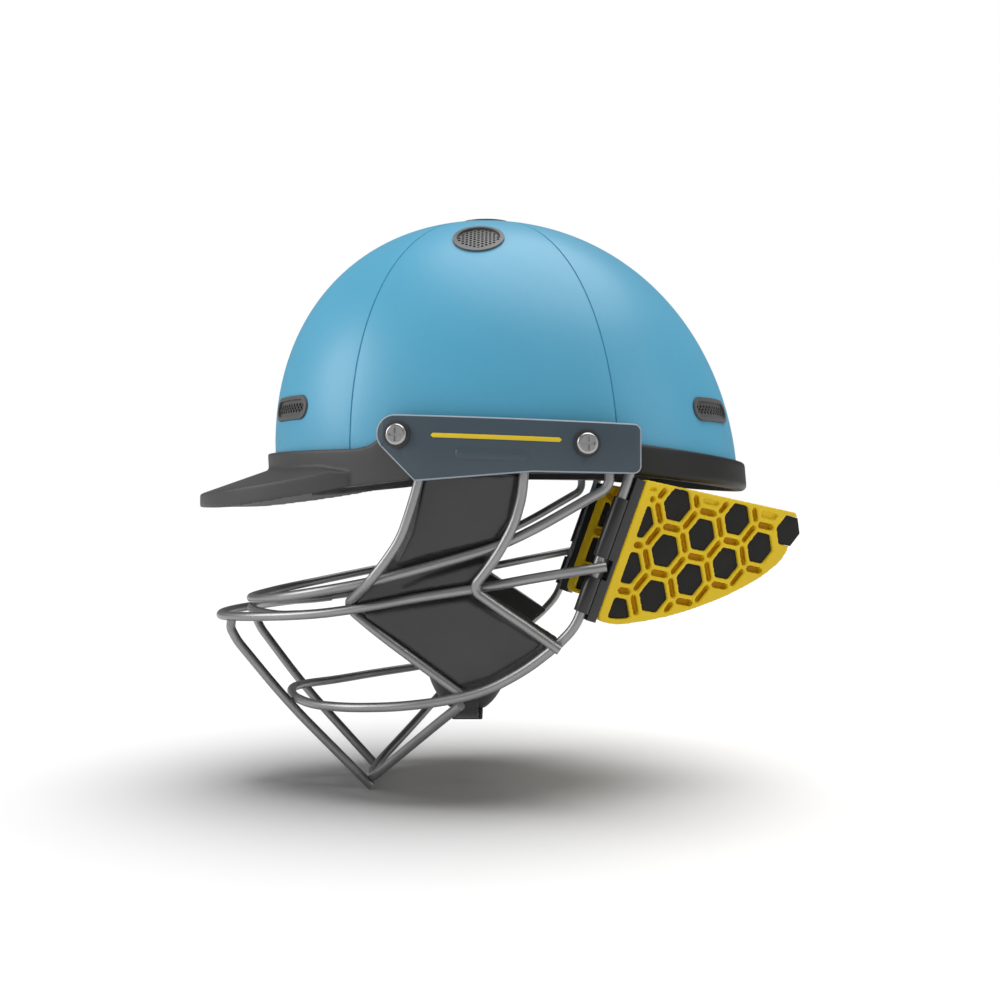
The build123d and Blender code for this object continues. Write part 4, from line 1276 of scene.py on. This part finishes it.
@dataclass
class SidePlates:
    """The side plates with a rounded edge painted lighter as a highlight, and a slim stripe."""

    edge: float = 0.75 * MM
    outer_x: float = 110 * MM
    bend_radius: float = 260 * MM
    middle: float = 5 * MM
    stripe_rear: float = 26.5 * MM
    stripe_front: float = -38 * MM
    stripe_up: float = 14.6 * MM
    stripe_fall: float = 0.04
    stripe_width: float = 2.2 * MM
    stripe_proud: float = 0.25 * MM
    pill: tuple[float, ...] = (10 * MM, -26 * MM, 5.6 * MM, 5.2 * MM, 0.35 * MM)
    ribbon_steps: int = 60
    ribbon_root: float = -0.3 * MM
    ribbon_flat: float = 0.85

    def _outer(self, y: float, grow: float) -> float:
        """X of the plate's outer face, moved out by grow."""
        reach = math.sqrt((self.bend_radius + grow) ** 2 - (y - self.middle) ** 2)
        return self.outer_x - self.bend_radius + reach

    def _ribbon(
        self, name: str, rear: float, front: float, up: float, width: float, proud: float, sign: int
    ) -> bpy.types.Object:
        """A slim raised ribbon with round ends on a plate's face.

        Args:
            name: The piece's name.
            rear: Rear end along Y.
            front: Front end along Y.
            up: Height of its middle line.
            width: Its width.
            proud: How far it stands out.
            sign: 1 on the left, -1 on the right.

        Returns:
            The piece.
        """
        count, points, faces = self.ribbon_steps, [], []
        root, flat = self.ribbon_root, self.ribbon_flat
        half_ring = [(1, root), (1, proud * 0.5), (flat, proud)]
        profile = [(-share, lift) for share, lift in half_ring] + half_ring[::-1]
        for i in range(count + 1):
            y = front + (rear - front) * i / count
            near_end = min(y - front, rear - y)
            half = math.sqrt(max((width / 2) ** 2 - max(width / 2 - near_end, 0) ** 2, 1e-10))
            z = up - self.stripe_fall * (y - front)
            for share, lift in profile:
                points.append(Vector((sign * self._outer(y, lift), y, z + half * share)))
        ring = len(profile)
        for i in range(count):
            for k in range(ring):
                a, b = i * ring + k, i * ring + (k + 1) % ring
                faces.append((a, b, b + ring, a + ring))
        faces.append(tuple(range(ring)))
        faces.append(tuple(range(count * ring, count * ring + ring)))
        piece = new_piece(name, mesh_from(name, points, faces))
        smooth(piece, 50)
        return piece

    def build(self, nodes: dict[str, bpy.types.Object]) -> None:
        """Make both plates and their stripes.

        Args:
            nodes: The CAD nodes by name.
        """
        for side in Side:
            source = f"{side.word}_side_plate"
            piece = merged_copy(f"{side.word}_plate", nodes[source])
            piece.data.materials.append(PLATE_SLATE.material())
            piece.data.materials.append(PLATE_EDGE_HIGHLIGHT.material())
            # The bevel's faces get the lighter slate: a painted highlight along the plate's edge.
            bevel = add_bevel(piece, self.edge, 50)
            bevel.material = 1
            bevel.use_clamp_overlap = False
            bake_modifiers(piece)
            smooth(piece, 30)
            settle(piece, Body.HELMET, "plate_plastic", source)
            stripe = self._ribbon(
                f"{side.word}_plate_stripe", self.stripe_rear, self.stripe_front, self.stripe_up,
                self.stripe_width, self.stripe_proud, side.value,
            )
            dress(stripe, ACCENT_YELLOW)
            settle(stripe, Body.HELMET, "guard_plastic")
            pill = self._ribbon(f"{side.word}_plate_pill", *self.pill, side.value)
            dress(pill, PLATE_SLATE)
            settle(pill, Body.HELMET, "plate_plastic")


# Chin strap


@dataclass
class Webbing:
    """The woven chin webs."""

    swing_forward: float = 22.5 * MM
    swing_up: float = 8 * MM
    width: float = 13.5 * MM
    wall: float = 1.7 * MM
    eye: float = 7.5 * MM
    drop: float = 142.8 * MM
    bottom: float = -139.5 * MM
    shares: tuple[tuple[float, float], ...] = ((0.92, -0.35), (0.82, -0.62), (0.62, -0.86), (0.42, -0.965))
    bend: float = 0.4
    level_share: float = 0.17
    middle_gap: float = 0.3 * MM
    top_inset: float = 0.9 * MM
    least_turn: float = 0.02

    def _line(self, x: float, sign: int) -> list[Vector]:
        """The web's middle line.

        Args:
            x: X of its straight top.
            sign: 1 on the left, -1 on the right.

        Returns:
            The corners of the line.
        """
        rows = [(x, self.swing_up + self.eye), (x, self.swing_up - self.eye)]
        rows += [(a * x, b * self.drop) for a, b in self.shares]
        rows += [(self.level_share * x, self.bottom), (self.middle_gap, self.bottom)]
        return [Vector((sign * a, -self.swing_forward, b)) for a, b in rows]

    def _bends(self, points: Sequence[Vector]) -> list[float]:
        """The bend radius at each corner, 0 at the ends."""
        radii = [0.0]
        for before, corner, after in zip(points, points[1:], points[2:]):
            run_in, run_out = corner - before, after - corner
            turn = run_in.angle(run_out)
            room = self.bend * min(run_in.length, run_out.length)
            radii.append(room / math.tan(max(turn, self.least_turn) / 2))
        return radii + [0.0]

    def _tree(self) -> Tree:
        """The tree that bends a path and sweeps a flat rounded band along it."""
        tree = Tree("web_band")
        tree.size("Width")
        tree.size("Wall")
        bend = tree.node("GeometryNodeInputNamedAttribute", data_type="FLOAT")
        bend.inputs["Name"].default_value = "bend"
        line = tree.node("GeometryNodeMeshToCurve")
        tree.link(tree.entry.outputs["Geometry"], line.inputs["Mesh"])
        corner = tree.fillet(line.outputs["Curve"], bend.outputs["Attribute"], 12)
        corner.inputs["Limit Radius"].default_value = True
        facing = tree.node("GeometryNodeSetCurveNormal")
        tree.choose(facing, "Free")
        facing.inputs["Normal"].default_value = (0, 1, 0)
        tree.link(corner.outputs["Curve"], facing.inputs["Curve"])
        along = tree.node("GeometryNodeSplineParameter")
        keep_along = tree.node("GeometryNodeStoreNamedAttribute", data_type="FLOAT", domain="POINT")
        keep_along.inputs["Name"].default_value = "along"
        tree.link(facing.outputs["Curve"], keep_along.inputs["Geometry"])
        tree.link(along.outputs["Length"], keep_along.inputs["Value"])
        band = tree.node("GeometryNodeCurvePrimitiveQuadrilateral")
        tree.link(tree.entry.outputs["Width"], band.inputs["Width"])
        tree.link(tree.entry.outputs["Wall"], band.inputs["Height"])
        half = tree.node("ShaderNodeMath", operation="MULTIPLY")
        half.inputs[1].default_value = 0.49
        tree.link(tree.entry.outputs["Wall"], half.inputs[0])
        edge = tree.fillet(band.outputs["Curve"], half.outputs[0], 4)
        sweep = tree.node("GeometryNodeCurveToMesh")
        sweep.inputs["Fill Caps"].default_value = True
        tree.link(keep_along.outputs["Geometry"], sweep.inputs["Curve"])
        tree.link(edge.outputs["Curve"], sweep.inputs["Profile Curve"])
        tree.finish(sweep.outputs["Mesh"], WEBBING)
        return tree

    def build(self, nodes: dict[str, bpy.types.Object]) -> None:
        """Make both webs.

        Args:
            nodes: The CAD nodes by name.
        """
        tree = self._tree()
        for side in Side:
            source = f"{side.word}_chin_strap"
            low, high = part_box(source)
            top = max(abs(low.x), abs(high.x)) - self.top_inset
            points = self._line(top, side.value)
            data = bpy.data.meshes.new(f"{side.word}_web")
            data.from_pydata([tuple(p) for p in points], [(i, i + 1) for i in range(len(points) - 1)], [])
            bend = data.attributes.new("bend", "FLOAT", "POINT")
            bend.data.foreach_set("value", self._bends(points))
            web = new_piece(f"{side.word}_web", data)
            tree.run(web, Width=self.width, Wall=self.wall)
            self._map(web)
            smooth(web, 40)
            settle(web, Body.STRAP, "webbing", source)

    def _map(self, web: bpy.types.Object) -> None:
        """Lay the weave's UV map along the web, in metres."""
        layer = web.data.uv_layers.new(name="UVMap")
        along = web.data.attributes.get("along")
        for loop in web.data.loops:
            point = web.data.vertices[loop.vertex_index].co
            run = along.data[loop.vertex_index].value if along else -point.z
            layer.data[loop.index].uv = (run, point.y)


# Stage


@dataclass(frozen=True)
class Lamp:
    """One soft area light."""

    name: str
    place: Row
    size: float
    watts: float
    colour: Colour = (1.0, 1.0, 1.0)


@dataclass
class Studio:
    """The white floor, the lights and the camera."""

    camera: Row = (0.7, -0.0038, -0.0174)
    focal: float = 1207.0
    frame: float = 1000.0
    sensor: float = 36.0
    floor_reach: float = 30.0
    floor_white: float = 0.95
    sky: float = 0.22
    sun: float = 2.9
    sun_spread: float = 62.0
    sun_tilt: float = -12.0
    lamps: tuple[Lamp, ...] = (
        Lamp("key_light", (0.35, -1.3, 0.55), 0.8, 10.0),
        Lamp("fill_light", (0.6, 1.4, 0.5), 0.9, 2.6),
    )

    def build_camera(self) -> None:
        """Place the camera where the picture was taken from."""
        data = bpy.data.cameras.new("view")
        data.sensor_width = self.sensor
        data.lens = self.focal / self.frame * self.sensor
        camera = bpy.data.objects.new("view", data)
        camera.location = self.camera
        camera.rotation_euler = (math.radians(90), 0, math.radians(90))
        bpy.context.scene.collection.objects.link(camera)
        bpy.context.scene.camera = camera

    def build_floor(self, height: float) -> None:
        """A white floor that runs to the horizon.

        Args:
            height: The floor's height.
        """
        reach = self.floor_reach
        signs = ((-1, -1), (1, -1), (1, 1), (-1, 1))
        corners = [(x * reach, y * reach, height) for x, y in signs]
        data = bpy.data.meshes.new("floor")
        data.from_pydata(corners, [], [(0, 1, 2, 3)])
        floor = new_piece("floor", data)
        white = bpy.data.materials.new("floor_white")
        white.use_nodes = True
        tree = white.node_tree
        chalk = tree.nodes.new("ShaderNodeBsdfDiffuse")
        chalk.inputs["Color"].default_value = (self.floor_white, self.floor_white, self.floor_white, 1)
        tree.links.new(chalk.outputs["BSDF"], tree.nodes["Material Output"].inputs["Surface"])
        data.materials.append(white)
        floor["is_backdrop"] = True

    def build_light(self) -> None:
        """A broad light from above, two soft side lights for the helmet alone and a white surround."""
        helmet_only = bpy.data.collections.new("lit_by_the_lamps")
        helmet_only.objects.link(bpy.data.objects["floor"])
        helmet_only.collection_objects[0].light_linking.link_state = "EXCLUDE"
        for lamp in self.lamps:
            data = bpy.data.lights.new(lamp.name, "AREA")
            data.shape = "DISK"
            data.size = lamp.size
            data.energy = lamp.watts
            data.color = lamp.colour
            light = bpy.data.objects.new(lamp.name, data)
            light.location = lamp.place
            aim = Vector((0, 0, 0)) - Vector(lamp.place)
            light.rotation_euler = aim.to_track_quat("-Z", "Y").to_euler()
            light.light_linking.receiver_collection = helmet_only
            bpy.context.scene.collection.objects.link(light)
        data = bpy.data.lights.new("top_light", "SUN")
        data.energy = self.sun
        data.angle = math.radians(self.sun_spread)
        light = bpy.data.objects.new("top_light", data)
        light.rotation_euler.x = math.radians(self.sun_tilt)
        bpy.context.scene.collection.objects.link(light)
        self._build_surround()
        bpy.context.scene.view_settings.view_transform = "Standard"

    def _build_surround(self) -> None:
        """A surround that lights softly and looks white to the camera."""
        world = bpy.data.worlds.new("surround")
        world.use_nodes = True
        nodes, links = world.node_tree.nodes, world.node_tree.links
        back = nodes["Background"]
        back.inputs["Color"].default_value = (1, 1, 1, 1)
        path = nodes.new("ShaderNodeLightPath")
        level = nodes.new("ShaderNodeMath")
        level.operation = "MULTIPLY_ADD"
        level.inputs[1].default_value = 1 - self.sky
        level.inputs[2].default_value = self.sky
        links.new(path.outputs["Is Camera Ray"], level.inputs[0])
        links.new(level.outputs[0], back.inputs["Strength"])
        bpy.context.scene.world = world


NODE_FINISHES: dict[str, Finish] = {
    "impact_liner": LINER_FOAM,
    "crown_vent": VENT_GREY,
    **{f"{side.word}_{place}_vent": VENT_GREY for side in Side for place in ("top", "front", "rear")},
    "plate_screws": SCREW_STEEL,
    "plate_nuts": SCREW_STEEL,
    "plate_washers": WASHER_DARK,
    "plate_spacers": WASHER_DARK,
    **{f"{side.word}_strap_anchor": BUCKLE_BLACK for side in Side},
}

BUCKLE = partial(softened, width=0.8 * MM)
STRIP = partial(softened, width=0.5 * MM)
SOFT_NODES = (
    SoftNode(
        "peak", "brow_brim", PEAK_GREY, "peak_plastic", Body.HELMET,
        partial(moulded, voxel=0.85 * MM, rounds=10),
    ),
    SoftNode(
        "rear_trim", "nape_trim", TRIM_BLACK, "trim_rubber", Body.HELMET,
        partial(moulded, voxel=0.9 * MM, rounds=4),
    ),
    SoftNode(
        "chin_cup", "chin_rest", CUP_GREY, "cup_plastic", Body.STRAP,
        partial(moulded, voxel=0.8 * MM, rounds=3),
    ),
    SoftNode("strap_slider", "chin_slider", BUCKLE_BLACK, "buckle_plastic", Body.STRAP, BUCKLE),
    SoftNode("strap_buckle", "side_release", BUCKLE_BLACK, "buckle_plastic", Body.STRAP, BUCKLE),
    SoftNode("left_guard_clip", "left_clip_strip", CLIP_BLACK, "clip_plastic", Body.LEFT_GUARD, STRIP),
    SoftNode("right_guard_clip", "right_clip_strip", CLIP_BLACK, "clip_plastic", Body.RIGHT_GUARD, STRIP),
)


def main() -> None:
    """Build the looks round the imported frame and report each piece."""
    logging.basicConfig(level=logging.INFO, format="%(message)s")
    studio = Studio()
    studio.build_camera()
    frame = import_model()
    cad_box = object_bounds()
    nodes = frame["nodes"]
    for name, node in nodes.items():
        finish = NODE_FINISHES.get(name, WIRE_METAL if name.endswith("wire") else None)
        if finish:
            dress_node(node, finish)
            log.info("%s keeps its solid, in %s", name, finish.name)
    for soft in SOFT_NODES:
        soft.build(nodes)
    Shell().build()
    ComfortPads().build()
    CheekPads().build(nodes)
    SidePlates().build(nodes)
    GuardFoam().build(nodes)
    Webbing().build(nodes)
    studio.build_floor(cad_box[0][2])
    studio.build_light()


if __name__ == "__main__":
    main()
